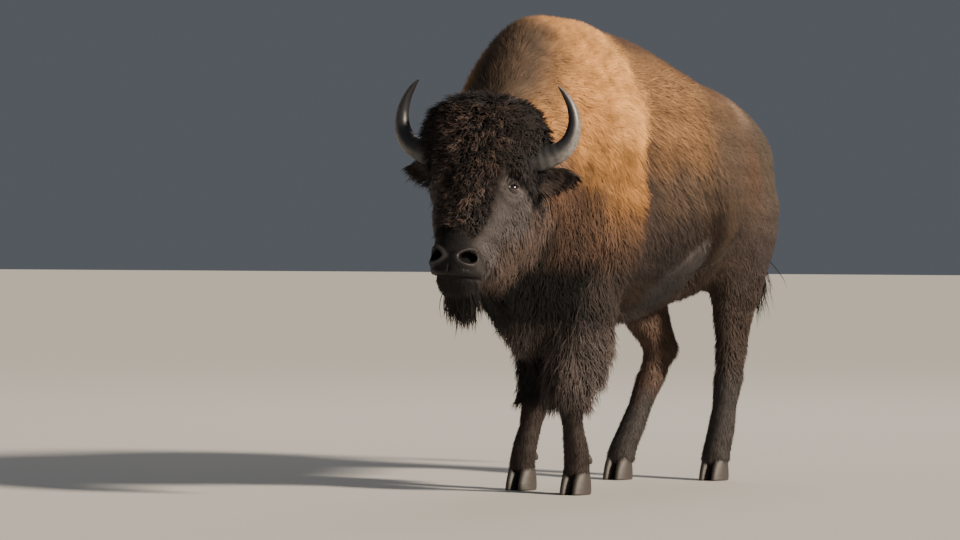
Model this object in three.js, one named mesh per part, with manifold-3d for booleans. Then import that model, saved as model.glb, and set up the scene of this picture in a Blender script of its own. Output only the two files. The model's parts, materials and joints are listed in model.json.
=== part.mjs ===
// American bison, a young bull standing in mid-step with its head turned a little to its left.
// Millimetres, +Z up. The bull faces -Y, and +X is on its left. Each solid reaches out to the tips of
// the coat that grows on it, so that the body, mane, beard and shaggy forelegs have their full outline.
import * as THREE from "three";
import { LoftGeometry } from "three/addons/geometries/LoftGeometry.js";
import { mergeVertices } from "three/addons/utils/BufferGeometryUtils.js";
import Module from "manifold-3d";

const wasm = await Module();
wasm.setup();

// Driving dimensions.
const GAP = 0.7; // clearance between two pieces that meet
const HUMP = 1600; // height of the hump's ridge
const FACE_SLOPE = 0.5; // angle of the face from the vertical, in radians
const HEAD_AT = new THREE.Vector3(150, -1265, 1129); // midway between the horns' roots
const HEAD_TURN = 0.17; // to the bull's left
const HEAD_ROLL = 0.06; // left ear lower
const EYE_RADIUS = 21;
const SOLE_LENGTH = 104;
const TOE_WIDTH = 44;
const CORONET = 62; // height of the hoof
const DEWCLAW = { radius: 15, length: 46, apart: 23, droop: 0.75 };

// Feet on the ground: the middle of each sole.
const FEET = {
  foreLeft: [148, -655],
  foreRight: [-140, -520],
  hindLeft: [150, 335],
  hindRight: [-165, 205],
};

const COLOURS = {
  tan: 0xa8743f,
  brown: 0x6b4a30,
  dark: 0x2f231b,
  black: 0x17120f,
  horn: 0x2b2b2e,
  hoof: 0x2a2521,
  eye: 0x120b07,
};

// ---- Sections and lofts ----

// A section of a limb or body: its centre, and its reach to the front or top, to the back or
// underside, and to either side. pinch narrows its front or top half, and keel the other half.
const section = (at, fore, aft, side, pinch = 0, keel = 0) => ({ at, fore, aft, side, pinch, keel });

// A girth of the trunk at y, from its top and underside, and its half width at the height `widest`.
const girth = (y, top, under, widest, side, pinch = 0, keel = 0) =>
  section([0, y, widest], top - widest, widest - under, side, pinch, keel);

// Rings of points through smoothly blended sections. Each ring is a rounded oval square to the path,
// x = side cos(a), y = reach sin(a), with both raised to a power that squares the oval a little.
// The rings are square to the path, or to the direction `level` when one is given.
function rings(sections, around, rowsPerSpan, grow, squareness, axis, level) {
  const blend = (pick) =>
    new THREE.CatmullRomCurve3(sections.map((s) => new THREE.Vector3(...pick(s))), false, "catmullrom");
  const path = blend((s) => s.at);
  const reach = blend((s) => [s.fore, s.aft, s.side]);
  const pinch = blend((s) => [s.pinch, s.keel, 0]);
  const rows = (sections.length - 1) * rowsPerSpan;
  const power = 2 / squareness;
  const bulge = (value) => Math.sign(value) * Math.abs(value) ** power;
  const made = [];
  for (let row = 0; row <= rows; row++) {
    const t = row / rows;
    const along = level ?? path.getTangent(t);
    const across = axis.clone().projectOnPlane(along).normalize();
    const front = new THREE.Vector3().crossVectors(along, across);
    const size = reach.getPoint(t);
    const narrow = pinch.getPoint(t);
    const centre = path.getPoint(t);
    if (row === 0) centre.addScaledVector(along, -grow);
    if (row === rows) centre.addScaledVector(along, grow);
    const ring = [];
    for (let k = 0; k < around; k++) {
      const angle = (2 * Math.PI * k) / around;
      const rise = Math.sin(angle);
      const taper = 1 - (rise > 0 ? narrow.x : narrow.y) * rise * rise;
      const width = (size.z + grow) * bulge(Math.cos(angle)) * taper;
      const height = ((rise > 0 ? size.x : size.y) + grow) * bulge(rise);
      ring.push(centre.clone().addScaledVector(across, width).addScaledVector(front, height));
    }
    made.push(ring);
  }
  return made;
}

const ACROSS = new THREE.Vector3(1, 0, 0);
const BACK = new THREE.Vector3(0, 1, 0);
const FRONT = new THREE.Vector3(0, -1, 0);
const UP = new THREE.Vector3(0, 0, 1);
const DOWN = new THREE.Vector3(0, 0, -1);

function loft(sections, { around = 24, rows = 2, grow = 0, square = 2.15, axis = ACROSS, level } = {}) {
  const made = rings(sections, around, rows, grow, square, axis, level);
  return new LoftGeometry(made, { capStart: true, capEnd: true });
}

// ---- Solids ----

function solid(geometry) {
  const bare = new THREE.BufferGeometry();
  bare.setAttribute("position", geometry.getAttribute("position"));
  bare.setIndex(geometry.getIndex());
  const merged = mergeVertices(bare, 1e-3);
  const triVerts = new Uint32Array(merged.index.array);
  const vertProperties = new Float32Array(merged.attributes.position.array);
  const made = new wasm.Manifold(new wasm.Mesh({ numProp: 3, vertProperties, triVerts }));
  if (made.volume() > 0) return made;
  for (let i = 0; i < triVerts.length; i += 3) {
    [triVerts[i], triVerts[i + 1]] = [triVerts[i + 1], triVerts[i]];
  }
  return new wasm.Manifold(new wasm.Mesh({ numProp: 3, vertProperties, triVerts }));
}

// The largest body of a solid, without the slivers that a cut can leave.
function largest(made) {
  return made.decompose().sort((a, b) => b.volume() - a.volume())[0];
}

function cut(made, ...others) {
  return largest(others.reduce((left, other) => left.subtract(other), made));
}

// Everything on the far side of a plane through a point, held back by half the gap.
function beyond(point, direction) {
  const size = 4000;
  const box = new THREE.BoxGeometry(size, size, size).translate(0, 0, size / 2 + GAP / 2);
  const turn = new THREE.Quaternion().setFromUnitVectors(UP, direction.clone().normalize());
  return solid(box.applyQuaternion(turn).translate(point.x, point.y, point.z));
}

const slice = (made, point, direction) => largest(made.intersect(beyond(point, direction)));

// ---- Trunk ----

const BODY = [
  girth(842, 1125, 970, 1045, 45),
  girth(815, 1205, 870, 1045, 120),
  girth(735, 1285, 790, 1045, 190),
  girth(610, 1358, 740, 1045, 240),
  girth(470, 1408, 700, 1035, 262),
  girth(310, 1448, 645, 1010, 268),
  girth(90, 1500, 605, 990, 304, 0.06),
  girth(-130, 1550, 575, 985, 330, 0.15),
  girth(-350, HUMP - 20, 545, 985, 340, 0.23, 0.1),
  girth(-550, HUMP - 4, 520, 990, 332, 0.3, 0.3),
  girth(-690, HUMP - 2, 500, 1000, 305, 0.34, 0.55),
  section([6, -790, 1008], HUMP - 1034, 498, 270, 0.22, 0.72),
  section([20, -880, 1014], HUMP - 1188, 420, 242, 0.26, 0.75),
  section([45, -970, 1020], 302, 385, 222, 0.28, 0.7),
  section([78, -1060, 1028], 262, 325, 203, 0.2, 0.5),
  section([116, -1150, 1040], 195, 245, 168, 0.1, 0.3),
  section([148, -1225, 1055], 110, 140, 100),
];

// ---- Head, in its own frame: x to its left, y back, z up, from midway between the horns' roots ----

const headPlace = new THREE.Matrix4().compose(
  HEAD_AT,
  new THREE.Quaternion().setFromEuler(new THREE.Euler(0, HEAD_ROLL, HEAD_TURN, "ZYX")),
  new THREE.Vector3(1, 1, 1),
);

// A point `down` the face from the horns' level and `out` in front of them, square to the face.
const onFace = (down, out, x = 0) => [
  x,
  -down * Math.sin(FACE_SLOPE) - out * Math.cos(FACE_SLOPE),
  -down * Math.cos(FACE_SLOPE) + out * Math.sin(FACE_SLOPE),
];

const FACE_DOWN = new THREE.Vector3(...onFace(1, 0));

// A section across the head, from how far its front and back stand out from the horns' roots.
const level = (down, face, jaw, side, pinch = 0, keel = 0) =>
  section(onFace(down, (face + jaw) / 2), (face - jaw) / 2, (face - jaw) / 2, side, pinch, keel);

const HEAD = [
  level(-192, 50, -5, 40),
  level(-178, 94, -42, 108),
  level(-150, 130, -88, 168),
  level(-95, 154, -135, 212),
  level(-20, 152, -168, 214),
  level(60, 130, -215, 180, 0, -0.1),
  level(130, 104, -262, 160, 0, -0.35),
  level(220, 74, -272, 142, 0.1, -0.35),
  level(310, 62, -225, 113, 0.1, -0.2),
  level(385, 56, -148, 89),
  level(438, 50, -106, 78),
  level(468, 26, -80, 54),
];

const EYE_AT = new THREE.Vector3(...onFace(122, 0, 129));
const SOCKET = { radius: 36, out: new THREE.Vector3(0.88, -0.42, 0.05).multiplyScalar(34) };

// ---- Horns: out, then up and in ----

const HORN = [
  section([110, 0, -8], 46, 46, 46),
  section([180, 4, -6], 42, 42, 42),
  section([224, 10, 4], 37, 37, 37),
  section([264, 18, 26], 32, 32, 32),
  section([290, 25, 64], 26, 26, 26),
  section([297, 30, 115], 21, 21, 21),
  section([285, 29, 165], 16, 16, 16),
  section([262, 22, 205], 10, 10, 10),
  section([240, 15, 230], 3, 3, 3),
];

const EAR = [
  section([100, 62, -68], 24, 24, 16),
  section([165, 74, -72], 36, 36, 18),
  section([230, 88, -64], 33, 33, 16),
  section([292, 98, -48], 8, 8, 7),
];

const BEARD = [
  section([0, -118, -340], 90, 80, 50),
  section([0, -112, -420], 92, 84, 54),
  section([0, -98, -485], 78, 74, 46),
  section([0, -88, -530], 50, 54, 32),
  section([0, -82, -560], 16, 20, 11),
];

// ---- Legs ----

// A limb's level: the middle at height z, and its reaches.
const hindLeft = [
  section([125, 560, 1120], 190, 190, 70),
  section([150, 535, 980], 225, 215, 118),
  section([165, 500, 840], 190, 190, 112),
  section([165, 480, 690], 132, 130, 88),
  section([155, 472, 560], 108, 106, 68),
  section([150, 465, 470], 76, 92, 53),
  section([150, 450, 370], 58, 66, 46),
  section([150, 418, 260], 42, 44, 37),
  section([150, 385, 160], 46, 50, 43),
  section([150, 358, 105], 43, 42, 45),
  section([150, 345, CORONET - 20], 50, 42, 49),
];

const hindRight = [
  section([-125, 540, 1120], 190, 190, 70),
  section([-150, 480, 980], 225, 215, 118),
  section([-168, 400, 830], 190, 190, 112),
  section([-165, 350, 690], 140, 145, 92),
  section([-150, 405, 550], 128, 122, 76),
  section([-138, 480, 455], 88, 100, 55),
  section([-145, 425, 370], 60, 66, 46),
  section([-152, 350, 260], 42, 44, 37),
  section([-160, 275, 155], 46, 50, 43),
  section([-164, 238, 105], 43, 42, 45),
  section([-165, 220, CORONET - 20], 50, 42, 49),
];

const foreLeft = [
  section([150, -610, 950], 130, 140, 60),
  section([155, -600, 820], 150, 165, 92),
  section([155, -605, 680], 145, 160, 104),
  section([150, -620, 520], 138, 148, 100),
  section([148, -665, 400], 118, 128, 92),
  section([148, -690, 345], 78, 92, 68),
  section([148, -692, 300], 44, 52, 42),
  section([148, -672, 230], 38, 42, 37),
  section([148, -650, 155], 44, 48, 44),
  section([148, -645, 105], 42, 42, 46),
  section([148, -648, CORONET - 20], 50, 42, 50),
];

const foreRight = [
  section([-150, -560, 950], 130, 140, 60),
  section([-150, -500, 820], 150, 165, 92),
  section([-145, -440, 680], 140, 155, 104),
  section([-127, -395, 520], 126, 140, 88),
  section([-127, -388, 400], 108, 120, 80),
  section([-134, -405, 340], 84, 92, 66),
  section([-136, -425, 290], 56, 62, 48),
  section([-138, -458, 220], 42, 46, 40),
  section([-140, -490, 155], 44, 48, 44),
  section([-140, -508, 105], 42, 42, 46),
  section([-140, -512, CORONET - 20], 50, 42, 50),
];

// ---- Tail ----

const TAIL = [
  section([0, 770, 1180], 30, 30, 34),
  section([6, 850, 1135], 26, 26, 28),
  section([18, 884, 1040], 19, 19, 21),
  section([30, 888, 900], 17, 17, 18),
  section([38, 880, 770], 19, 19, 20),
];

const TAIL_TUFT = [
  section([38, 880, 768], 19, 19, 20),
  section([50, 878, 715], 32, 32, 32),
  section([80, 886, 655], 27, 27, 27),
  section([118, 902, 598], 6, 6, 6),
];

// One toe: an oval at the coronet that widens and runs forward to a flat sole.
function toe([x, y], side) {
  const centre = x + (side * (TOE_WIDTH + 6)) / 2;
  const half = TOE_WIDTH / 2;
  return loft(
    [
      section([centre, y, CORONET], 36, 46, half - 2, 0.1),
      section([centre, y, CORONET / 2], 50, 50, half, 0.2),
      section([centre, y, 0], SOLE_LENGTH - 46, 46, half + 1, 0.3),
    ],
    { around: 14, rows: 1, square: 2.4, level: DOWN },
  );
}

// One dewclaw: a blunt cone behind the pastern, pointing down and back.
function dewclaw({ at: [x, y, z], aft }, side) {
  const cone = new THREE.ConeGeometry(DEWCLAW.radius, DEWCLAW.length, 7);
  cone.rotateX(-Math.PI / 2 - DEWCLAW.droop);
  cone.translate(x + side * DEWCLAW.apart, y + aft, z);
  return solid(cone);
}

// ---- Assembly ----

const bison = new THREE.Group();

function add(name, shape, colour, roughness = 0.9) {
  const geometry = shape.isBufferGeometry ? shape : geometryOf(shape);
  const material = new THREE.MeshStandardMaterial({ color: colour, roughness, metalness: 0 });
  const mesh = new THREE.Mesh(geometry, material);
  mesh.name = name;
  bison.add(mesh);
}

function geometryOf(made) {
  const mesh = made.getMesh();
  const geometry = new THREE.BufferGeometry();
  geometry.setAttribute("position", new THREE.BufferAttribute(mesh.vertProperties, 3));
  geometry.setIndex(new THREE.BufferAttribute(mesh.triVerts, 1));
  geometry.computeVertexNormals();
  return geometry;
}

const inHead = (geometry) => solid(geometry.applyMatrix4(headPlace));
const mirrored = (sections) => sections.map((s) => ({ ...s, at: [-s.at[0], s.at[1], s.at[2]] }));

const body = solid(loft(BODY));
const bodySpace = solid(loft(BODY, { grow: GAP }));
const skull = { around: 20, level: FACE_DOWN };
const headSpace = inHead(loft(HEAD, { ...skull, grow: GAP }));

const LOIN = new THREE.Vector3(0, 330, 0);
const RIBS = new THREE.Vector3(0, -250, 0);
const WITHERS = new THREE.Vector3(30, -900, 1000);
add("hindquarters", slice(body, LOIN, BACK), COLOURS.brown);
add("barrel", slice(slice(body, LOIN, FRONT), RIBS, BACK), COLOURS.brown);
add("shoulders", slice(slice(body, RIBS, FRONT), WITHERS, BACK), COLOURS.tan);
add("neck", cut(slice(body, WITHERS, FRONT), headSpace), COLOURS.dark);

const ball = (centre, radius) => solid(new THREE.SphereGeometry(radius, 12, 8).translate(...centre));

const eyeSpaces = [];
for (const [side, name] of [[1, "left"], [-1, "right"]]) {
  const flip = side > 0 ? (s) => s : mirrored;
  const mirror = new THREE.Vector3(side, 1, 1);
  const eye = EYE_AT.clone().multiply(mirror).applyMatrix4(headPlace);
  const socket = EYE_AT.clone().add(SOCKET.out).multiply(mirror).applyMatrix4(headPlace);
  eyeSpaces.push(ball(eye, EYE_RADIUS + GAP), ball(socket, SOCKET.radius));
  add("eye_" + name, ball(eye, EYE_RADIUS), COLOURS.eye, 0.1);
  const round = { around: 10, square: 2, axis: BACK };
  const horn = inHead(loft(flip(HORN), round));
  const hornSpace = inHead(loft(flip(HORN), { ...round, grow: GAP }));
  add("horn_" + name, cut(horn, headSpace), COLOURS.horn, 0.5);
  add("ear_" + name, cut(inHead(loft(flip(EAR), round)), headSpace, hornSpace, bodySpace), COLOURS.black);
}
add("head", cut(inHead(loft(HEAD, skull)), ...eyeSpaces), COLOURS.dark);
add("beard", cut(inHead(loft(BEARD, { around: 12, level: DOWN })), headSpace), COLOURS.black);

const cord = { around: 10, square: 2 };
const tailSpace = solid(loft(TAIL, { ...cord, grow: GAP }));
add("tail", cut(solid(loft(TAIL, cord)), bodySpace), COLOURS.brown);
add("tail_tuft", cut(solid(loft(TAIL_TUFT, cord)), tailSpace, bodySpace), COLOURS.black);

// The rows of a leg's sections where it is parted: the hock or knee, the fetlock and the pastern.
const [HOCK, FETLOCK, PASTERN] = [5, 8, 9];
const coronet = new THREE.Vector3(0, 0, CORONET + GAP / 2);

function leg(name, sections, foot) {
  const shape = { around: 14, rows: 1, level: DOWN };
  const whole = cut(solid(loft(sections, shape)), bodySpace);
  const legSpace = solid(loft(sections, { ...shape, grow: GAP }));
  const [joint, ankle] = [HOCK, FETLOCK].map((row) => new THREE.Vector3(...sections[row].at));
  add(name + "_upper", slice(whole, joint, UP), COLOURS.dark);
  add(name + "_lower", slice(slice(whole, joint, DOWN), ankle, UP), COLOURS.dark);
  add(name + "_foot", slice(slice(whole, ankle, DOWN), coronet, UP), COLOURS.dark);
  for (const [side, word] of [[1, "left"], [-1, "right"]]) {
    const claw = cut(dewclaw(sections[PASTERN], side), legSpace);
    add(name + "_hoof_" + word, solid(toe(foot, side)), COLOURS.hoof, 0.6);
    add(name + "_dewclaw_" + word, claw, COLOURS.hoof, 0.6);
  }
}

leg("hindleg_left", hindLeft, FEET.hindLeft);
leg("hindleg_right", hindRight, FEET.hindRight);
leg("foreleg_left", foreLeft, FEET.foreLeft);
leg("foreleg_right", foreRight, FEET.foreRight);

// The origin is on the ground below the middle of the whole animal.
const extent = new THREE.Box3().setFromObject(bison);
const middle = extent.getCenter(new THREE.Vector3());
bison.position.set(-middle.x, -middle.y, -extent.min.z);

export default bison;
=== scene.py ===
"""The looks of a young American bison bull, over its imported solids: one skin, a coat of solid tufts,
horns, ears, eyes and hooves. Lengths are in metres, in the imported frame: the bull faces -Y."""

import json
import math

import bpy
import numpy as np
from bpy.props import FloatProperty, FloatVectorProperty, IntProperty, PointerProperty
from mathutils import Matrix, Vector

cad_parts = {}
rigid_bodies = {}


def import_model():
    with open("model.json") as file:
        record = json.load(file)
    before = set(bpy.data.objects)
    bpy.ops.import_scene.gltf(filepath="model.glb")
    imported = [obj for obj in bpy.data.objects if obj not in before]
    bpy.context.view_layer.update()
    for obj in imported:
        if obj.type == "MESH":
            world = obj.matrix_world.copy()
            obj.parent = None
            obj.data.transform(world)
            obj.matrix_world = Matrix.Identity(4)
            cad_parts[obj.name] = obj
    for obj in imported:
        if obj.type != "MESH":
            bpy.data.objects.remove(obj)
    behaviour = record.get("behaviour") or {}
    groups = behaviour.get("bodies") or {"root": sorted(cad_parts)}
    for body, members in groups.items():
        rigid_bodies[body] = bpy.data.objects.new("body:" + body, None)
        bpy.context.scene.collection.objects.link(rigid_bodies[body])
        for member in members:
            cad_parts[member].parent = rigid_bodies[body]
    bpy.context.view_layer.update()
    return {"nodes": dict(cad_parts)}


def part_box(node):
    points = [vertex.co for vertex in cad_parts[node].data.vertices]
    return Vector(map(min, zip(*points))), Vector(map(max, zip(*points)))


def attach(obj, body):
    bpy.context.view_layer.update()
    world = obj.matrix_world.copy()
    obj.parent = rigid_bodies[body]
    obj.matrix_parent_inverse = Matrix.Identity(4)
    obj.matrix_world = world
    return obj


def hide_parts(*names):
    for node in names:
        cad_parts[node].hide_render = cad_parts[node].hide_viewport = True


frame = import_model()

bl_info = {
    "name": "American bison",
    "version": (1, 0, 0),
    "blender": (4, 5, 0),
    "location": "3D View > Sidebar > Bison",
    "description": "Skin, coat, horns, ears, eyes and hooves of a young American bison bull",
    "category": "Mesh",
}

LEGS = ("foreleg_left", "foreleg_right", "hindleg_left", "hindleg_right")
FLESH = ["hindquarters", "barrel", "shoulders", "neck", "head", "tail"]
FLESH += [f"{leg}_{part}" for leg in LEGS for part in ("upper", "lower", "foot")]
SIDES = (("left", 1.0), ("right", -1.0))
PIECE_TRIANGLES = 190000


# ---- Frames ----


def unit(v):
    return v / np.linalg.norm(v, axis=-1, keepdims=True)


def middle(node):
    """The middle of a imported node's box."""
    low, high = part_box(node)
    return (np.array(low) + np.array(high)) / 2


UP = np.array((0.0, 0.0, 1.0))
BACK = np.array((0.0, 1.0, 0.0))
FACE_SLOPE = 0.5  # of the face from the vertical
EYE_DOWN = 0.122  # the eyes, below the horns' roots along the face
EYE_SIDE = 0.129  # the eyes, from the head's middle
EYES = {name: middle("eye_" + name) for name, _ in SIDES}
HEAD_X = unit(EYES["left"] - EYES["right"])
HEAD_Y = unit(np.cross(UP, HEAD_X))
HEAD_Z = np.cross(HEAD_X, HEAD_Y)
FACE_DOWN = -math.sin(FACE_SLOPE) * HEAD_Y - math.cos(FACE_SLOPE) * HEAD_Z
FACE_OUT = -math.cos(FACE_SLOPE) * HEAD_Y + math.sin(FACE_SLOPE) * HEAD_Z
HEAD_AT = (EYES["left"] + EYES["right"]) / 2 - EYE_DOWN * FACE_DOWN
HEAD_FROM_BODY = np.array((0.150, -1.265, 1.129))
BODY_AT = HEAD_AT - HEAD_FROM_BODY  # on the middle line
HUMP_AHEAD = 0.70  # the hump's top, before the body's own origin


def in_body(p):
    """Coordinates from the body's own origin: x to its left, y back, z up."""
    return np.moveaxis(p - BODY_AT, -1, 0)


def in_face(p):
    """Coordinates on the face: s to its left, d down the face and o out of it, from the horns' roots."""
    q = p - HEAD_AT
    return q @ HEAD_X, q @ FACE_DOWN, q @ FACE_OUT


def in_head(p):
    """Coordinates from the horns' roots: s to its left, f forward and h up."""
    q = p - HEAD_AT
    return q @ HEAD_X, -(q @ HEAD_Y), q @ HEAD_Z


def from_head(points):
    """Points given from the horns' roots as left, back and up."""
    return HEAD_AT + np.asarray(points, float) @ np.array((HEAD_X, HEAD_Y, HEAD_Z))


def from_eyes(p):
    """The distance of each point from the nearer eye's middle."""
    return np.minimum(*(np.linalg.norm(p - eye, axis=1) for eye in EYES.values()))


# ---- Numbers ----


def fade(start, end, x):
    """0 up to start, 1 from end on, and a smooth cubic between. start may be above end."""
    t = np.clip((x - start) / (end - start), 0, 1)
    return t * t * (3 - 2 * t)


def swell(p, centre, radius):
    """A rounded bump of height 1 at centre: exp(-distance squared / radius squared)."""
    return np.exp(-((p - np.array(centre)) ** 2).sum(-1) / radius**2)


def swells(p, table):
    """The sum of rounded bumps, each given by its centre, radius and height."""
    return sum(rise * swell(p, centre, radius) for centre, radius, rise in table)


def bell(x, middle_at, width):
    """1 at the middle and falling off on both sides: exp(-(distance / width) squared)."""
    return np.exp(-(((x - middle_at) / width) ** 2))


def ripple(p, scale, seed, waves=7):
    """Smooth noise of about that scale, from -1 to 1: the mean of sine waves in several directions."""
    rng = np.random.default_rng(seed)
    way = unit(rng.normal(size=(waves, 3)))
    pitch = 2 * math.pi / (scale * rng.uniform(0.7, 1.6, waves))
    phase = rng.uniform(0, 2 * math.pi, waves)
    return np.sin((p @ way.T) * pitch + phase).sum(-1) * 1.4 / waves


def spline(knots, count):
    """Points of a Catmull-Rom curve through the knots, evenly spaced in its parameter."""
    k = np.asarray(knots, float)
    k = np.vstack((2 * k[0] - k[1], k, 2 * k[-1] - k[-2]))
    u = np.linspace(0, len(k) - 3 - 1e-9, count)
    i = u.astype(int)
    t = (u - i)[:, None]
    a, b, c, d = k[i], k[i + 1], k[i + 2], k[i + 3]
    square, cube = 2 * a - 5 * b + 4 * c - d, 3 * b - a - 3 * c + d
    return 0.5 * (2 * b + (c - a) * t + square * t**2 + cube * t**3)


# ---- Meshes ----


def build(name, points, faces, material=None):
    """A mesh object from an array of points and a list of arrays of faces, each of one number of corners."""
    mesh = bpy.data.meshes.new(name)
    corners = np.concatenate([group.ravel() for group in faces]).astype(np.int32)
    sizes = np.concatenate([np.full(len(group), group.shape[1]) for group in faces])
    starts = np.concatenate(([0], np.cumsum(sizes)[:-1])).astype(np.int32)
    mesh.vertices.add(len(points))
    move(mesh, points)
    mesh.loops.add(len(corners))
    mesh.loops.foreach_set("vertex_index", corners)
    mesh.polygons.add(len(sizes))
    mesh.polygons.foreach_set("loop_start", starts)
    mesh.update(calc_edges=True)
    mesh.validate()
    mesh.shade_smooth()
    piece = bpy.data.objects.new(name, mesh)
    bpy.context.scene.collection.objects.link(piece)
    if material:
        mesh.materials.append(material)
    return piece


def move(mesh, points):
    mesh.vertices.foreach_set("co", np.ascontiguousarray(points, np.float32).ravel())


def circle(around):
    """Angles of evenly spaced points round a circle."""
    return np.linspace(0, 2 * math.pi, around, endpoint=False)


def bands(first, second, around):
    """Quads that join the rings of points numbered in first to those numbered in second."""
    a, b = first[:, None] * around, second[:, None] * around
    j = np.arange(around)
    turn = (j + 1) % around
    return np.stack((a + j, a + turn, b + turn, b + j), -1).reshape(-1, 4)


def capped(rows, around):
    """Faces of a closed tube: quads between its rings of points, and fans to the two points after them."""
    ring = np.arange(rows)
    j = np.arange(around)
    turn = (j + 1) % around
    last = (rows - 1) * around
    start = np.column_stack((turn, j, np.full(around, rows * around)))
    end = np.column_stack((last + j, last + turn, np.full(around, rows * around + 1)))
    return [bands(ring[:-1], ring[1:], around), np.vstack((start, end))]


def outward(points, faces):
    """Turns the faces round if they enclose a negative volume."""
    volume = 0.0
    for group in faces:
        for k in range(1, group.shape[1] - 1):
            a, b, c = points[group[:, 0]], points[group[:, k]], points[group[:, k + 1]]
            volume += np.einsum("ij,ij->i", a, np.cross(b, c)).sum()
    return faces if volume > 0 else [group[:, ::-1] for group in faces]


def points_of(mesh):
    co = np.empty(len(mesh.vertices) * 3, np.float32)
    mesh.vertices.foreach_get("co", co)
    return co.reshape(-1, 3).astype(float)


def ends_of(mesh):
    """The two vertices of each edge."""
    ends = np.empty(len(mesh.edges) * 2, np.int32)
    mesh.edges.foreach_get("vertices", ends)
    return ends.reshape(-1, 2)


def triangles_of(mesh):
    """Corner indices into the vertices and into the loops, for each triangle."""
    mesh.calc_loop_triangles()
    count = len(mesh.loop_triangles)
    corners = np.empty(count * 3, np.int32)
    loops = np.empty(count * 3, np.int32)
    mesh.loop_triangles.foreach_get("vertices", corners)
    mesh.loop_triangles.foreach_get("loops", loops)
    return corners.reshape(-1, 3), loops.reshape(-1, 3)


def normals_of(points, triangles):
    """Vertex normals, weighted by the areas of the triangles round each."""
    a, b, c = (points[triangles[:, k]] for k in range(3))
    face = np.cross(b - a, c - a)
    total = np.zeros_like(points)
    for axis in range(3):
        for k in range(3):
            total[:, axis] += np.bincount(triangles[:, k], face[:, axis], len(points))
    return unit(total + 1e-12)


def from_path(p, knots):
    """The distance of each point from the straight lines between knots."""
    near = np.full(len(p), np.inf)
    knots = np.asarray(knots)
    for a, b in zip(knots, knots[1:]):
        t = np.clip((p - a) @ (b - a) / ((b - a) @ (b - a)), 0, 1)
        near = np.minimum(near, np.linalg.norm(p - a - t[:, None] * (b - a), axis=1))
    return near


class Neighbours:
    """Averages over each vertex's neighbours, along the edges of a mesh."""

    def __init__(self, mesh):
        ends = ends_of(mesh)
        self.near = np.concatenate((ends[:, 0], ends[:, 1]))
        self.far = np.concatenate((ends[:, 1], ends[:, 0]))
        self.size = len(mesh.vertices)
        self.degree = np.maximum(np.bincount(self.near, minlength=self.size), 1)

    def mean(self, values):
        columns = values.reshape(self.size, -1).T
        means = [np.bincount(self.near, column[self.far], self.size) / self.degree for column in columns]
        return np.stack(means, 1).reshape(values.shape)

    def smooth(self, values, rounds, strength):
        """Moves values towards their neighbours' mean. strength is a number or one for each vertex."""
        if np.ndim(strength):
            strength = strength[:, None] if values.ndim == 2 else strength
        for _ in range(rounds):
            values = values + strength * (self.mean(values) - values)
        return values

    def even(self, values, rounds, strength):
        """Smooths values twice over, to keep the shape that one smoothing takes off."""
        once = self.smooth(values, rounds, strength)
        return once + self.smooth(values - once, rounds, strength)


def set_values(mesh, name, values, kind="FLOAT"):
    """Stores a number or colour for each vertex."""
    layer = mesh.attributes.new(name, kind, "POINT")
    if kind == "FLOAT":
        layer.data.foreach_set("value", np.ascontiguousarray(values, np.float32))
        return
    rgba = np.ones((len(values), 4), np.float32)
    rgba[:, :3] = values
    layer.data.foreach_set("color", rgba.ravel())


def set_map(mesh, name, uv, corners):
    """Stores a UV map from one pair of numbers for each vertex."""
    layer = mesh.uv_layers.new(name=name)
    layer.uv.foreach_set("vector", np.ascontiguousarray(uv[corners], np.float32).ravel())


# ---- The head's levels, down the face ----

# down, face's front, jaw's back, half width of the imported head, with its coat
HEAD_LEVELS = np.array(
    [
        (-0.192, 0.050, -0.005, 0.040),
        (-0.150, 0.130, -0.088, 0.168),
        (-0.095, 0.154, -0.135, 0.212),
        (-0.020, 0.152, -0.168, 0.214),
        (0.060, 0.130, -0.215, 0.180),
        (0.130, 0.104, -0.262, 0.160),
        (0.220, 0.074, -0.272, 0.142),
        (0.310, 0.062, -0.225, 0.113),
        (0.385, 0.056, -0.148, 0.089),
        (0.438, 0.050, -0.106, 0.078),
        (0.468, 0.026, -0.080, 0.054),
    ]
)


def head_level(d):
    """Front, back and half width of the head at places down the face."""
    return [np.interp(d, HEAD_LEVELS[:, 0], HEAD_LEVELS[:, k]) for k in (1, 2, 3)]


# ---- Regions of the body ----

# heights, and how far back the cape's thick wool reaches there
CAPE_HEIGHTS = (0.60, 0.78, 0.92, 1.16, 1.34, 1.49, 1.62)
CAPE_BACK = (-0.50, -0.50, -0.52, -0.51, -0.43, -0.40, -0.36)
# back and up: the crease between flank and thigh
FLANK_FOLD = ((0.12, 0.66), (0.19, 0.72), (0.26, 0.785), (0.33, 0.85), (0.38, 0.93))
TAIL_PATH = (
    (0.0, 0.77, 1.18),
    (0.006, 0.85, 1.135),
    (0.018, 0.884, 1.04),
    (0.030, 0.888, 0.90),
    (0.038, 0.880, 0.77),
)


def nostril_reach(s, d):
    """How far a point of the face is from the middle of a nostril, against its edge: 1 at the edge. The
    nostril is an ellipse that leans outwards and bends down, as a comma."""
    u, v = s - 0.055, d - 0.395
    along, across = 0.78 * u - 0.62 * v, 0.62 * u + 0.78 * v
    return np.hypot(along / 0.0245, (across + 9.0 * along**2 - 0.002) / 0.0185)


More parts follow.
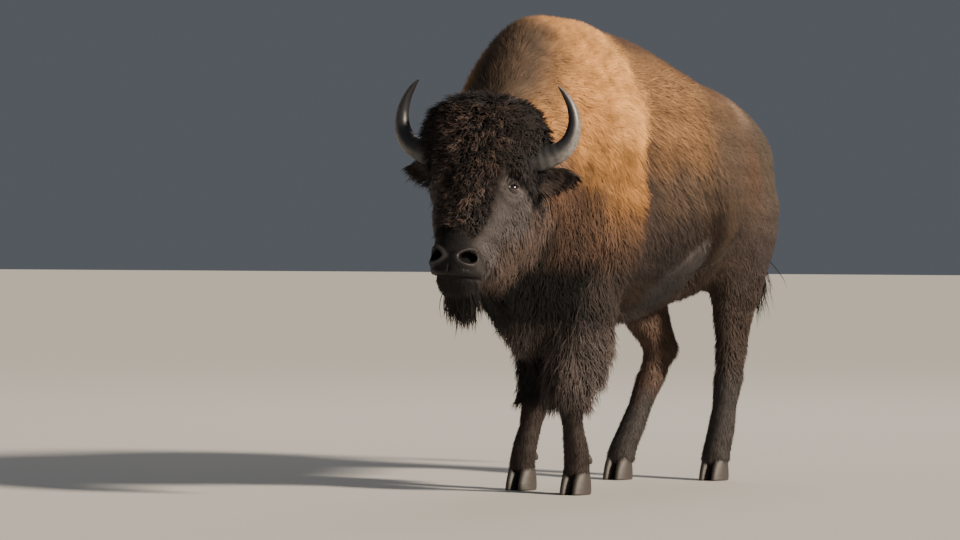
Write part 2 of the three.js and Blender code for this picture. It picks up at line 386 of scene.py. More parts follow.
class Regions:
    """How far each point belongs to each region of the body, from 0 to 1, as smooth functions of place."""

    def __init__(self, p):
        self.p = p
        self.x, self.y, self.z = x, y, z = in_body(p)
        self.s, self.d, self.o = s, d, o = in_face(p)
        self.f, self.h = f, h = in_head(p)[1:]
        self.off, self.wide = off, wide = np.abs(x), np.abs(s)
        self.place = np.stack((off, y, z), -1)
        front, jaw, half = head_level(d)
        within = fade(-0.05, 0.0, o - jaw) * fade(0.055, 0.02, wide - half) * fade(0.53, 0.49, d)
        self.head = within * fade(-0.26, -0.21, d) * fade(0.10, 0.05, o - front)
        body = 1 - self.head
        self.tail = fade(0.052, 0.040, from_path(p - BODY_AT, TAIL_PATH)) * fade(0.845, 0.865, y)
        self.neck = fade(-0.78, -0.98, y) * body
        self.fore = fade(0.66, 0.56, z) * fade(-0.05, -0.15, y) * body
        self.hind = fade(0.80, 0.62, z) * fade(0.0, 0.1, y) * body
        self.shank = fade(0.36, 0.31, z) * fade(-0.1, -0.3, y) * body
        self.shank = self.shank + fade(0.40, 0.33, z) * fade(0.0, 0.1, y)
        edge = np.interp(z, CAPE_HEIGHTS, CAPE_BACK) + 0.02 * ripple(p, 0.16, 5)
        self.past_edge = y - edge
        self.cape = fade(0.05, -0.07, self.past_edge) * body
        tongues = 0.016 * ripple(p * (1, 1, 0.4), 0.020, 18) + 0.010 * ripple(p, 0.050, 19)
        top = fade(1.10, 1.40, z)
        self.wool = fade(0.055 + 0.05 * top, -0.025 - 0.05 * top, self.past_edge + tongues) * body
        side = fade(1.50, 1.40, z) * fade(0.72, 0.86, z) * body
        self.fringe = fade(-0.12, -0.04, self.past_edge) * fade(0.03, 0.01, self.past_edge) * side
        self.groove = bell(self.past_edge, 0.055, 0.065) * side
        self.rear = fade(0.05, 0.40, y) * body
        self.front = self.cape * fade(-0.60, -0.72, y) * fade(1.02, 1.15, z)
        self.ruff = body * fade(-0.15, -0.08, o - jaw) * fade(0.12, 0.06, wide - half)
        self.ruff = self.ruff * fade(-0.04, 0.06, d) * fade(0.55, 0.47, d)
        self.chest = fade(-0.55, -0.75, y) * fade(0.80, 0.62, z) * body
        self.mane = np.clip(self.neck + self.chest, 0, 1) * (1 - self.shank)
        hanging = self.mane * fade(1.35, 1.10, z) + self.cape * fade(1.10, 0.92, z)
        self.locks = np.clip(hanging, 0, 1) * (1 - self.shank)
        self.ribs = fade(-0.04, 0.05, self.past_edge) * fade(0.24, -0.02, y) * fade(1.46, 1.36, z)
        self.ribs = self.ribs * fade(0.80, 0.90, z) * body
        crease = from_path(self.place[:, 1:], FLANK_FOLD)
        self.fold = fade(0.05, 0.0, crease) * body * fade(0.94, 0.82, z) * (off > 0.12)
        # The dusty patch is a band that rises to the back, and bends up at its rear end.
        back, up = y + 0.13, z - 0.735
        along, across = 0.88 * back + 0.47 * up, 0.88 * up - 0.47 * back
        across = across + 0.030 * fade(-0.05, 0.10, y) + 0.014 * ripple(p, 0.07, 8)
        narrow = fade(0.088, 0.066, np.abs(across + 0.018) + 0.010 * ripple(p, 0.022, 20))
        self.patch = fade(0.24, 0.16, np.abs(along)) * narrow * body
        self.patch_rim = self.patch * fade(0.016, 0.040, across) * fade(-0.12, 0.08, along)
        self.throat = fade(-0.66, -0.74, y) * fade(0.88, 0.76, z) * fade(0.48, 0.56, z) * body
        self.belly = fade(0.76, 0.66, z) * fade(-0.50, -0.40, y) * fade(0.42, 0.3, y) * body * (z > 0.5)
        self.crest = fade(1.36, 1.52, z) * fade(0.17, 0.08, off) * body
        # The bonnet of curls ends above the eyes, and its forelock runs down the nose.
        brow = 0.060 + 0.225 * fade(0.108, 0.066, wide) + 0.022 * ripple(p, 0.035, 7)
        self.bonnet = self.head * fade(0.028, -0.022, d - brow)
        self.forelock = self.bonnet * fade(0.04, 0.15, d)
        self.crown = self.bonnet * np.clip(fade(-0.105, -0.135, d) + fade(0.06, 0.02, o), 0, 1)
        self.curls = self.bonnet * (1 - self.crown)
        self.clump = ripple(p, 0.026, 17, 9)
        self.cheek = self.head * fade(0.03, 0.11, d) * fade(0.02, -0.06, o) * (1 - self.bonnet)
        below = fade(-0.10, -0.16, o) + fade(-0.20, -0.30, h) * fade(0.10, 0.05, f)
        self.jaw = self.head * np.clip(below, 0, 1)
        self.muzzle = self.head * fade(0.345, 0.400, d) * fade(0.10, 0.14, f)
        self.pad = self.head * fade(0.368, 0.392, d) * fade(-0.395, -0.385, h)
        self.pad = self.pad * fade(0.075, 0.062, wide) * fade(0.15, 0.17, f)
        self.chin = self.head * fade(-0.392, -0.404, h) * fade(0.06, 0.10, f)
        at = np.stack((wide, d, o), -1)
        self.orbit = self.head * swell(at, (EYE_SIDE, EYE_DOWN, 0.0), 0.050)
        self.brow = self.head * swell(at, (EYE_SIDE + 0.010, EYE_DOWN - 0.026, -0.012), 0.020)
        reach = nostril_reach(wide, d)
        self.nostril = self.head * fade(1.16, 1.00, reach) * fade(-0.055, -0.040, o)
        self.nostril_rim = self.head * fade(2.0, 1.4, reach) * (1 - self.nostril) * fade(0.10, 0.14, f)
        self.nose_line = self.head * fade(0.070, 0.035, wide) * fade(0.10, 0.25, d) * fade(0.0, 0.03, o)

    def blend(self, base, *pairs):
        """A value that starts as base and moves to each later value by its region's share."""
        vector = (3,) if np.ndim(pairs[0][1]) else ()
        value = np.broadcast_to(np.asarray(base, float), self.y.shape + vector).copy()
        for share, other in pairs:
            share = share[:, None] if np.ndim(other) else share
            value = value + share * (np.asarray(other, float) - value)
        return value


def coat_form(r):
    """Length and width of the tufts in each region, their lift off the skin at the root and at the tip,
    in radians, and how much they sag."""
    table = (
        (r.rear, (0.026, 0.0030, 0.34, 0.10, 0.05)),
        (r.patch, (0.018, 0.0028, 0.30, 0.08, 0.0)),
        (r.cape, (0.034, 0.0029, 0.38, 0.20, 0.10)),
        (r.front, (0.044, 0.0032, 0.58, 0.34, 0.10)),
        (r.crest, (0.036, 0.0032, 0.62, 0.34, 0.0)),
        (r.neck, (0.078, 0.0042, 0.24, 0.10, 0.28)),
        (r.ruff, (0.086, 0.0044, 0.34, 0.16, 0.38)),
        (r.cape * fade(1.04, 0.84, r.z), (0.078, 0.0042, 0.26, 0.10, 0.32)),
        (r.fringe, (0.056, 0.0030, 0.32, 0.14, 0.15)),
        (r.chest, (0.096, 0.0046, 0.46, 0.20, 0.48)),
        (r.belly, (0.046, 0.0040, 0.50, 0.26, 0.30)),
        (r.hind, (0.036, 0.0036, 0.50, 0.26, 0.15)),
        (r.fore, (0.104, 0.0046, 0.46, 0.26, 0.48)),
        (r.shank, (0.019, 0.0030, 0.48, 0.24, 0.10)),
        (r.tail, (0.022, 0.0030, 0.40, 0.12, 0.30)),
        (r.head, (0.015, 0.0024, 0.36, 0.12, 0.05)),
        (r.cheek, (0.034, 0.0030, 0.42, 0.18, 0.25)),
        (r.cheek * fade(-0.08, -0.16, r.o), (0.062, 0.0036, 0.52, 0.28, 0.35)),
        (r.jaw, (0.082, 0.0042, 0.50, 0.30, 0.70)),
        (r.orbit, (0.009, 0.0020, 0.32, 0.10, 0.0)),
        (r.bonnet, (0.046, 0.0050, 1.05, 0.65, 0.0)),
        (r.crown, (0.062, 0.0036, 0.58, 0.28, 0.15)),
        (r.forelock, (0.034, 0.0040, 0.95, 0.60, 0.0)),
        (r.muzzle, (0.007, 0.0020, 0.32, 0.10, 0.0)),
        (r.chin, (0.018, 0.0028, 0.55, 0.35, 0.50)),
    )
    shares, forms = zip(*table)
    base = (0.030, 0.0040, 0.42, 0.12, 0.05)
    return [r.blend(first, *zip(shares, column)) for first, column in zip(base, zip(*forms))]


def coat_depth(r):
    """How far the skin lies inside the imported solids: as far as the tufts stand off it."""
    long, _, lift, flare, droop = coat_form(r)
    return 0.47 * long * (np.sin(lift) + np.sin(flare)) * (1 - 0.35 * droop)


# ---- Settings ----


def colour(name, text, value):
    return FloatVectorProperty(name=name, description=text, subtype="COLOR", min=0, max=1, default=value)


def length(name, text, value):
    return FloatProperty(name=name, description=text, subtype="DISTANCE", unit="LENGTH", min=0, default=value)


class BisonCoat(bpy.types.PropertyGroup):
    """Colours and sizes of the coat."""

    # Gold is partly bleached wool and partly painted highlight: the light that catches the ledge of the
    # cape's rear edge.
    gold: colour("Gold", "Bleached wool along the cape's rear edge", (0.72, 0.36, 0.122))
    tan: colour("Tan", "Wool of the hump and shoulders", (0.53, 0.250, 0.080))
    sandy: colour("Sandy", "Sun-bleached hair along the back and ribs", (0.232, 0.123, 0.057))
    rust: colour("Rust", "Lower shoulder and neck", (0.120, 0.066, 0.042))
    brown: colour("Brown", "Ribs and rump", (0.098, 0.066, 0.046))
    umber: colour("Umber", "Lower sides, thighs and neck", (0.054, 0.038, 0.032))
    dark: colour("Dark", "Forelegs, mane and bonnet", (0.028, 0.021, 0.019))
    black: colour("Black", "Face, chin, beard and tail's end", (0.010, 0.0085, 0.009))
    ash: colour("Ash", "Dusty hair of the cheeks and flank", (0.125, 0.108, 0.106))
    density: FloatProperty(name="Density", description="Share of the tufts", min=0.01, max=1, default=1)
    voxel: length("Voxel", "Spacing of the skin's points before the head is refined", 0.0115)
    seed: IntProperty(name="Seed", description="Chooses the places of the tufts", default=4)


class BisonHorn(bpy.types.PropertyGroup):
    """Colours of horns, hooves and eyes."""

    horn: colour("Horn", "Body of the horn", (0.022, 0.022, 0.025))
    # The pale outer curve is partly wear and partly painted highlight, where light catches the horn's outer
    # edge.
    worn_and_highlight: colour("Worn", "Worn grey outer curve of the horn", (0.34, 0.31, 0.285))
    hoof: colour("Hoof", "Hooves and dewclaws", (0.026, 0.022, 0.020))
    iris: colour("Iris", "Ring round the pupil", (0.016, 0.008, 0.005))
    white: colour("White", "White of the eye", (0.55, 0.50, 0.45))


class BisonStage(bpy.types.PropertyGroup):
    """Camera, floor and lights."""

    azimuth: FloatProperty(
        name="Azimuth", description="Camera's turn from the front", unit="ROTATION", default=math.radians(30)
    )
    distance: length("Distance", "Camera from below the hump", 15.0)
    height: length("Height", "Camera above the floor", 0.9)
    lens: FloatProperty(name="Lens", description="Focal length in mm on a 36 mm sensor", default=168.2)
    floor: colour("Floor", "Pale floor", (0.62, 0.605, 0.58))


def coat_settings():
    return bpy.context.scene.bison_coat


# ---- Materials ----


def new_material(name):
    material = bpy.data.materials.new(name)
    material.use_nodes = True
    return material, material.node_tree, material.node_tree.nodes["Principled BSDF"]


def feed(tree, node, inputs):
    """Gives a node's inputs their values: each a number, a colour or another node's socket."""
    for name, value in inputs.items():
        socket = node.inputs[name]
        if isinstance(value, bpy.types.NodeSocket):
            tree.links.new(value, socket)
        elif socket.type == "RGBA":
            socket.default_value = (*value, 1)
        else:
            socket.default_value = value


def add(tree, kind, inputs, output=0, **settings):
    """Adds a shader node with its settings and inputs, and gives one of its outputs."""
    node = tree.nodes.new("ShaderNode" + kind)
    for name, value in settings.items():
        setattr(node, name, value)
    feed(tree, node, inputs)
    return node.outputs[output]


def read(tree, name, output="Fac"):
    return add(tree, "Attribute", {}, output, attribute_name=name)


def ranged(tree, value, low, high):
    """Carries a number from between 0 and 1 to between low and high."""
    return add(tree, "MapRange", {"Value": value, "To Min": low, "To Max": high})


def mixed(tree, factor, a, b):
    return add(tree, "Mix", {0: factor, 6: a, 7: b}, 2, data_type="RGBA")


ROOT_SHADE, TIP_SHADE = 0.74, 1.18
DARK_TONE, LIGHT_TONE = 0.60, 1.40


def hair_group():
    """Colour of hair from its region's colour: darker at the root, lighter to the tip, and uneven."""
    group = bpy.data.node_groups.get("hair_colour")
    if group:
        return group
    group = bpy.data.node_groups.new("hair_colour", "ShaderNodeTree")
    for name, way, kind in (
        ("Colour", "INPUT", "NodeSocketColor"),
        ("Along", "INPUT", "NodeSocketFloat"),
        ("Tone", "INPUT", "NodeSocketFloat"),
        ("Colour", "OUTPUT", "NodeSocketColor"),
    ):
        group.interface.new_socket(name, in_out=way, socket_type=kind)
    inside = group.nodes.new("NodeGroupInput").outputs
    along = ranged(group, inside["Along"], ROOT_SHADE, TIP_SHADE)
    tone = ranged(group, inside["Tone"], DARK_TONE, LIGHT_TONE)
    product = add(group, "Math", {0: along, 1: tone}, operation="MULTIPLY")
    scaled = add(group, "VectorMath", {0: inside["Colour"], "Scale": product}, operation="SCALE")
    feed(group, group.nodes.new("NodeGroupOutput"), {"Colour": scaled})
    return group


def hair_colour(tree, along, tone):
    """The colour of hair, from the piece's own colours and from along and tone: each a number or a socket."""
    inputs = {"Colour": read(tree, "coat_colour", "Color"), "Along": along, "Tone": tone}
    return add(tree, "Group", inputs, node_tree=hair_group())


def fine_bump(tree, shader, scale, strength, distance):
    """Roughens a surface with noise in object space. scale is a number, or one for each axis."""
    place = add(tree, "TexCoord", {}, "Object")
    if np.ndim(scale):
        place, scale = add(tree, "Mapping", {"Vector": place, "Scale": scale}), 1
    noise = add(tree, "TexNoise", {"Vector": place, "Scale": scale, "Detail": 4}, "Fac")
    bump = add(tree, "Bump", {"Strength": strength, "Distance": distance, "Height": noise})
    feed(tree, shader, {"Normal": bump})
    return noise


def coat_material():
    """The tufts' material, made once."""
    material = bpy.data.materials.get("coat")
    if material:
        return material
    material, tree, shader = new_material("coat")
    colour = hair_colour(tree, read(tree, "along"), read(tree, "tone"))
    feed(tree, shader, {"Base Color": colour, "Roughness": 0.72, "Specular IOR Level": 0.28})
    return material


def skin_material(name):
    """Short fur over skin: streaks down the body, and a damp leathery grain on the nose."""
    material, tree, shader = new_material(name)
    colour = hair_colour(tree, fine_bump(tree, shader, (260, 200, 90), 0.9, 0.002), 0.4)
    wet = ranged(tree, read(tree, "bare"), 0.85, 0.42)
    feed(tree, shader, {"Base Color": colour, "Roughness": wet, "Specular IOR Level": 0.25})
    return material


# ---- Markings ----


def markings(r):
    """The coat's colour at each point, from the named colours and the regions."""
    c = coat_settings()
    gold, tan, sandy, rust, brown, umber, dark, black, ash = (
        np.array(v) for v in (c.gold, c.tan, c.sandy, c.rust, c.brown, c.umber, c.dark, c.black, c.ash)
    )
    wander = 0.05 * ripple(r.p, 0.30, 11) + 0.02 * ripple(r.p, 0.07, 12)
    z, y = r.z + wander, r.y + wander
    hung = z + 0.045 * ripple(r.p * (1, 1, 0.3), 0.045, 25)
    # hip: where the hip bone's painted highlight lies
    hip = swell(r.place, (0.190, 0.46, 1.325), 0.060)
    # flank: the hollow before the thigh, where painted shade lies
    flank = swell(r.place, (0.27, 0.09, 0.87), 0.17)
    thigh_front = 0.8 * swell(r.place * (1, 1, 0.6), (0.25, 0.38, 0.48), 0.10)
    ridge = fade(1.22, 1.30, z) * fade(0.20, 0.09, r.off) * fade(-0.46, -0.30, y) * fade(0.50, 0.30, y)
    thigh = swell(r.place * (1, 1, 0.5), (0.25, 0.43, 0.54), 0.07)
    rump = fade(0.22, 0.55, y)
    tan_end = 1.13 - 0.10 * fade(-0.78, -0.52, r.y)
    # lit: the raised clumps of the curls, which get a painted highlight; the lower ones get painted shade.
    lit = fade(-0.2, 0.9, r.clump)
    cape = r.blend(
        tan,
        (fade(-0.62, -0.80, y) * fade(1.40, 1.20, z), tan * 0.96),
        # Gold along the cape's rear edge: partly bleached wool, partly painted highlight on the edge's ledge.
        (fade(-0.22, -0.05, r.past_edge), gold),
        # Painted highlight: a brighter gold strip where light catches the middle of the cape's edge.
        (fade(-0.10, -0.03, r.past_edge) * fade(1.02, 1.12, z) * fade(1.30, 1.20, z), gold * 1.4),
        (fade(1.25, 1.06, z), tan * 0.76),
        (fade(tan_end, tan_end - 0.20, hung), rust),
        # Darker behind the cheek: partly darker neck wool, partly painted shade in the gap behind the cheek.
        (fade(-0.66, -0.80, r.y) * fade(1.18, 0.98, hung), rust * 0.66),
        (fade(-0.20, -0.03, r.past_edge) * fade(1.04, 0.82, z), (rust + umber) * 0.5),
        (fade(0.90, 0.72, hung), umber * 0.85),
        (fade(0.78, 0.62, hung), dark * 1.1),
    )
    colours = r.blend(
        sandy,
        (fade(1.22, 1.04, z), brown * 0.95),
        (fade(1.02, 0.86, z), umber * 0.80),
        (fade(0.90, 0.78, z), dark),
        (fade(-0.10, 0.25, y) * fade(1.44, 1.16, z), brown * 1.05),
        (rump, brown * (0.90, 1.0, 1.12)),
        (rump * fade(1.06, 0.80, z), umber * (1.05, 1.1, 1.3)),
        (thigh * 0.7, rust),
        # Painted highlight: the top of the hip bone is painted lighter, where light catches it.
        (hip * 0.8, sandy + ash * 0.9),
        (thigh_front, umber * 0.62),
        # Painted shade: the hollow of the flank before the thigh is painted nearly black-brown.
        (flank, rust * (0.09, 0.06, 0.05)),
        # Painted shade: the crease between flank and thigh is painted darker.
        (r.fold * 0.8, dark * 0.6),
        (ridge * (1 - r.head), rust * 0.75),
        # Painted shadow: the groove behind the cape's rear edge is painted umber.
        (r.groove * fade(1.25, 1.05, z), umber),
        (r.wool, cape),
        # The middle of the hump's front is darker: partly the crest's darker wool, partly painted shade where
        # it faces away from the light.
        (r.front * fade(-0.62, -0.78, r.y) * fade(0.22, 0.06, r.off), brown * 0.95),
        (r.neck * fade(-0.95, -1.05, r.y) * fade(1.50, 1.30, z), brown * 0.9),
        (r.neck * fade(1.30, 1.16, z), rust * 1.5),
        (r.neck * fade(1.16, 0.96, hung), rust * 0.52),
        (r.mane * fade(1.04, 0.80, hung), dark * 0.6),
        # Painted shadow: the throat below the jaw is painted nearly black.
        (r.throat, black * 0.5),
        (r.belly, rust * 0.34),
        (r.patch, ash * 0.32),
        (r.patch_rim, ash * 0.66),
        (r.ruff * fade(1.32, 1.22, r.z), (ash + rust) * 0.40),
        (r.hind, umber * 0.9),
        (r.hind * fade(0.45, 0.30, z), ash * 0.42),
        (r.fore, dark * 1.7 + ash * 0.12),
        # Painted shade: the foreleg on the bull's right side, away from the light, is painted black.
        (r.fore * fade(-0.02, -0.08, r.x), black * 1.1),
        (r.shank * fade(-0.1, -0.3, y), dark * 1.5),
        # Painted light: the front of the right hind leg, below the gaskin, is painted lighter where light
        # reaches it.
        (r.hind * fade(0.0, -0.05, r.x) * fade(0.50, 0.42, y) * fade(0.26, 0.36, z), rust * 0.6 + ash * 0.2),
        (r.head, dark * 1.1),
        (r.head * fade(0.05, 0.12, r.d) * fade(0.05, -0.01, r.o), ash * 0.78),
        (r.orbit, ash * 0.62),
        (r.brow, ash * 1.5),
        (r.head * fade(-0.10, -0.22, r.o), (ash + rust) * 0.50),
        (r.jaw, (ash + rust) * 0.46),
        # Painted light and shade: the bonnet is painted lighter in its middle and darker at its sides, the
        # raised curls lighter and the curls between them black.
        (r.bonnet, dark * (0.7 + 0.5 * fade(0.13, 0.06, r.wide))[:, None]),
        (r.curls * lit * fade(0.12, 0.05, r.wide), dark * 3.0 + rust * 0.45),
        (r.curls * (1 - lit) * fade(0.2, -0.6, r.clump), black * 1.2),
        (r.crown, black * 2.3),
        (r.nose_line * fade(0.24, 0.34, r.d) * (1 - r.bonnet), black * 1.1),
        (r.muzzle, black * 1.2),
        (r.chin, black * 1.2),
        (r.pad, black * 0.6),
        # Painted highlight: the nostril's wet rim is painted lighter grey.
        (r.nostril_rim, ash * 0.30),
        # Painted shade: the nostril's opening is painted nearly black, the shade inside its hollow.
        (r.nostril, black * 0.05),
        (r.tail, umber),
        (r.tail * fade(0.95, 0.85, r.z), black * 1.6),
    )
    # Streaks run down and back along the sides.
    down_back = np.array((0.0, 0.6, -0.8))
    along = (r.p @ down_back)[:, None] * down_back
    streak = ripple(r.p - 0.85 * along, 0.030, 15) + ripple(r.p - 0.9 * along, 0.011, 16, 11)
    depth = (0.13 + 0.12 * r.ribs + 0.08 * r.hind) * (1 - r.head)
    woolly = np.clip(r.wool + r.neck, 0, 1) * (1 - r.head)
    bands = woolly * (0.28 * ripple(r.p * (1, 1, 0.35), 0.055, 23) + 0.26 * ripple(r.p, 0.024, 24))
    mottle = 1 + bands + 0.12 * ripple(r.p, 0.045, 13) + 0.07 * ripple(r.p, 0.018, 14) + depth * streak
    return np.clip(colours * mottle[:, None], 0.002, 1)


# ---- Skin ----


def flesh_copy():
    """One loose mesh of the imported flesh, each piece grown a little so that it overlaps the next."""
    grown = 0.0012
    points, faces, count = [], [], 0
    for name in FLESH:
        mesh = frame["nodes"][name].data
        corners, _ = triangles_of(mesh)
        where, same = np.unique(np.round(points_of(mesh), 5), axis=0, return_inverse=True)
        corners = same.ravel()[corners]
        a, b, c = corners.T
        corners = corners[(a != b) & (b != c) & (c != a)]
        points.append(where + grown * normals_of(where, corners))
        faces.append(corners + count)
        count += len(where)
    return build("skin", np.concatenate(points), [np.concatenate(faces)])


def applied(piece):
    """Applies a piece's modifiers to its mesh."""
    depsgraph = bpy.context.evaluated_depsgraph_get()
    mesh = bpy.data.meshes.new_from_object(piece.evaluated_get(depsgraph))
    piece.modifiers.clear()
    old = piece.data
    piece.data = mesh
    bpy.data.meshes.remove(old)
    return mesh


def edit(piece):
    """Opens one piece's mesh for editing."""
    for other in bpy.context.view_layer.objects:
        other.select_set(False)
    piece.select_set(True)
    bpy.context.view_layer.objects.active = piece
    bpy.ops.object.mode_set(mode="EDIT")


def unwrap(piece, margin, triangles):
    """Unwraps a whole piece into the map OFBake, and may cut its faces into triangles first."""
    edit(piece)
    bpy.ops.mesh.select_all(action="SELECT")
    if triangles:
        bpy.ops.mesh.quads_convert_to_tris()
    bpy.ops.uv.smart_project(angle_limit=math.radians(66), island_margin=margin)
    bpy.ops.object.mode_set(mode="OBJECT")
    piece.data.uv_layers[0].name = "OFBake"


def refine(piece, chosen):
    """Halves the edges whose two ends are chosen."""
    mesh = piece.data
    mesh.vertices.foreach_set("select", chosen)
    mesh.edges.foreach_set("select", chosen[ends_of(mesh)].all(1))
    mesh.polygons.foreach_set("select", np.zeros(len(mesh.polygons), bool))
    bpy.context.tool_settings.mesh_select_mode = (False, True, False)
    edit(piece)
    bpy.ops.mesh.subdivide(number_cuts=1, smoothness=0)
    bpy.ops.object.mode_set(mode="OBJECT")


# centre from the body's origin, radius, height
BODY_FORMS = (
    ((0.225, 0.360, 1.315), 0.046, 0.026),  # hip bone
    ((0.250, 0.235, 1.200), 0.100, -0.014),  # hollow before the hip
    ((0.215, 0.640, 1.185), 0.080, 0.007),  # thurl
    ((0.105, 0.820, 1.115), 0.055, 0.009),  # pin bone
    ((0.240, 0.460, 0.900), 0.120, 0.010),  # thigh
    ((0.195, 0.145, 0.675), 0.100, -0.045),  # flank
    ((0.300, -0.560, 1.180), 0.120, 0.014),  # shoulder blade
    ((0.300, -0.720, 0.940), 0.085, 0.014),  # point of the shoulder
    ((0.320, -0.360, 1.020), 0.110, -0.010),  # behind the shoulder
)
# centre as side, down and out on the face, radius, height
FACE_FORMS = (
    ((0.120, 0.190, -0.150), 0.075, 0.010),  # cheek
    ((0.095, 0.250, -0.020), 0.040, 0.006),  # ridge below the eye
    ((0.090, 0.300, -0.060), 0.050, -0.008),  # hollow of the cheek
    ((0.080, 0.150, 0.045), 0.040, -0.006),  # beside the nose's bridge
    ((0.062, 0.405, 0.030), 0.036, 0.009),  # nostril's wing
)
RIB_SPACING = 0.072


def relief(r, normals):
    """Bones and muscles that show through the coat, as a height along the skin's normal."""
    height = swells(r.place, BODY_FORMS)
    ribs = fade(-0.15, -0.05, r.y) * fade(0.30, 0.20, r.y) * fade(0.72, 0.85, r.z) * fade(1.25, 1.1, r.z)
    height += 0.0016 * ribs * np.sin(2 * math.pi * (r.y + 0.12 * r.z) / RIB_SPACING)
    height += 0.010 * r.cape * fade(1.0, 1.15, r.z) - 0.007 * r.groove - 0.014 * r.fold**2
    height += 0.008 * r.curls * r.clump + 0.007 * r.hind * r.shank
    # Above the hock, the leg is hollow on both sides between the bone and the tendon behind it.
    gaskin = r.hind * fade(0.46, 0.52, r.z) * fade(0.66, 0.60, r.z) * np.abs(normals[:, 0]) ** 2
    height -= 0.010 * gaskin
    return height


EYE_RADIUS = 0.021
LID_THICKNESS = 0.0028
LID_UP, LID_DOWN, LID_HALF = 0.0130, 0.0106, 0.0216  # the opening's reach above, below and along


def eye_axes(side):
    """The eye's own directions: along its opening, up across it, and out of it."""
    out = unit(side * 0.80 * HEAD_X + 0.57 * FACE_OUT - 0.16 * FACE_DOWN)
    along = unit(np.cross(-FACE_DOWN + 0.30 * FACE_OUT, out) * side)
    up = np.cross(out, along) * side
    return along, up, out


def lid_gap(a):
    """Heights of the upper and the lower lid's edge above the eye's middle, along its opening: each is its
    reach times (1 - t to the 2.2) to the 0.8."""
    t = np.clip(np.abs(a) / LID_HALF, 0, 1)
    arch = (1 - t**2.2) ** 0.8
    return LID_UP * arch, -LID_DOWN * arch


def press_eye(points, side):
    """Draws the skin over the eye as lids with an almond opening, under a brow and a fold. In the eye's
    own directions, the skin's height is the ball's plus a lid, falls away inside the opening, and
    has a soft ridge along the lids' edges and a groove above them."""
    along, up, out = eye_axes(side)
    q = points - EYES["left" if side > 0 else "right"]
    a, b, c = q @ along, q @ up, q @ out
    span = np.hypot(a, b)
    near = fade(0.060, 0.024, span) * fade(-0.060, -0.045, c)
    ball = np.sqrt(np.maximum(EYE_RADIUS**2 - np.minimum(span, EYE_RADIUS) ** 2, 0))
    cup = 0.007 - 0.012 * fade(0.02, 0.055, span)
    target = np.maximum(ball + LID_THICKNESS, cup)
    high, low = lid_gap(a)
    open_by = np.minimum(high - b, b - low)
    target = target - 0.012 * fade(-0.0006, 0.0012, open_by)
    target = target + 0.0020 * bell(open_by, -0.0030, 0.0022)
    above = fade(-0.004, 0.004, b)
    target = target - 0.0030 * bell(open_by, -0.0085, 0.0022) * above
    target = target - 0.0018 * bell(open_by, -0.0150, 0.0018) * above
    target = target - 0.0016 * bell(open_by, -0.0100, 0.0020) * fade(0.004, -0.004, b)
    target = target + 0.013 * bell(b, 0.027, 0.012) * fade(0.050, 0.0, np.abs(a + 0.004))
    target = target + 0.003 * bell(b, -0.022, 0.009)
    return points + ((target - c) * near)[:, None] * out


def press_muzzle(points, side):
    """Sinks one nostril and raises the rim round it."""
    s, d, o = in_face(points)
    s = s * side
    mine = fade(-0.004, 0.004, s)[:, None]
    reach = nostril_reach(s, d)
    face = fade(-0.012, 0.012, o)
    hole = fade(1.12, 0.72, reach) * face
    rim = bell(reach, 1.40, 0.32) * face
    inward = unit(-0.80 * FACE_OUT - 0.40 * side * HEAD_X - 0.30 * FACE_DOWN)
    outward_rim = FACE_OUT + side * 0.7 * HEAD_X
    return points + mine * (hole[:, None] * 0.038 * inward + rim[:, None] * 0.0055 * outward_rim)


def press_mouth(points, normals):
    """The line of the mouth, the lips on either side of it, and the groove below the nose."""
    s, f, h = in_head(points)
    line = -0.394 - 0.10 * (0.231 - f) + 0.20 * s**2
    front = fade(0.125, 0.150, f) * fade(-0.36, -0.37, h)
    off = h - line
    crease = bell(off, 0.0, 0.0040)
    lower = fade(0.002, -0.008, off) * fade(-0.065, -0.030, off)
    upper = bell(off, 0.014, 0.010)
    dent = bell(s, 0.0, 0.0035) * fade(-0.345, -0.36, h) * fade(-0.405, -0.395, h) * fade(0.17, 0.19, f)
    height = front * (-0.0100 * crease - 0.0075 * lower + 0.0035 * upper) - 0.0035 * dent
    return points + height[:, None] * normals


def shape_head(points, normals):
    """The forms of the face under its coat, and the drop of the chin."""
    s, d, o = in_face(points)
    height = swells(np.stack((np.abs(s), d, o), -1), FACE_FORMS)
    _, f, h = in_head(points)
    drop = 0.024 * fade(-0.396, -0.420, h) * fade(0.06, 0.11, f)
    return points + height[:, None] * normals - drop[:, None] * UP


def one_surface(voxel):
    """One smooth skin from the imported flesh: each point is moved in along its normal by the coat's depth,
    and out by the relief."""
    piece = flesh_copy()
    remesh = piece.modifiers.new("one_skin", "REMESH")
    remesh.mode = "VOXEL"
    remesh.voxel_size = voxel
    mesh = applied(piece)
    points = points_of(mesh)
    near = Neighbours(mesh)
    r = Regions(points)
    thin = np.clip(r.shank + r.tail, 0, 1)
    blunt = (1 - thin) * (1 - 0.6 * np.clip(r.hind + r.fore, 0, 1)) * (1 - 0.6 * r.head)
    points = near.even(points, 45, 0.5 * blunt)
    points = near.even(points, 5, 0.5)
    normals = near.smooth(normals_of(points, triangles_of(mesh)[0]), 6, 0.5)
    depth = near.smooth(coat_depth(Regions(points)), 12, 0.5)
    points = points - depth[:, None] * unit(normals)
    points = near.smooth(points, 8, 0.4 * (1 - thin))
    normals = normals_of(points, triangles_of(mesh)[0])
    points = points + relief(Regions(points), normals)[:, None] * normals
    move(mesh, points)
    return piece


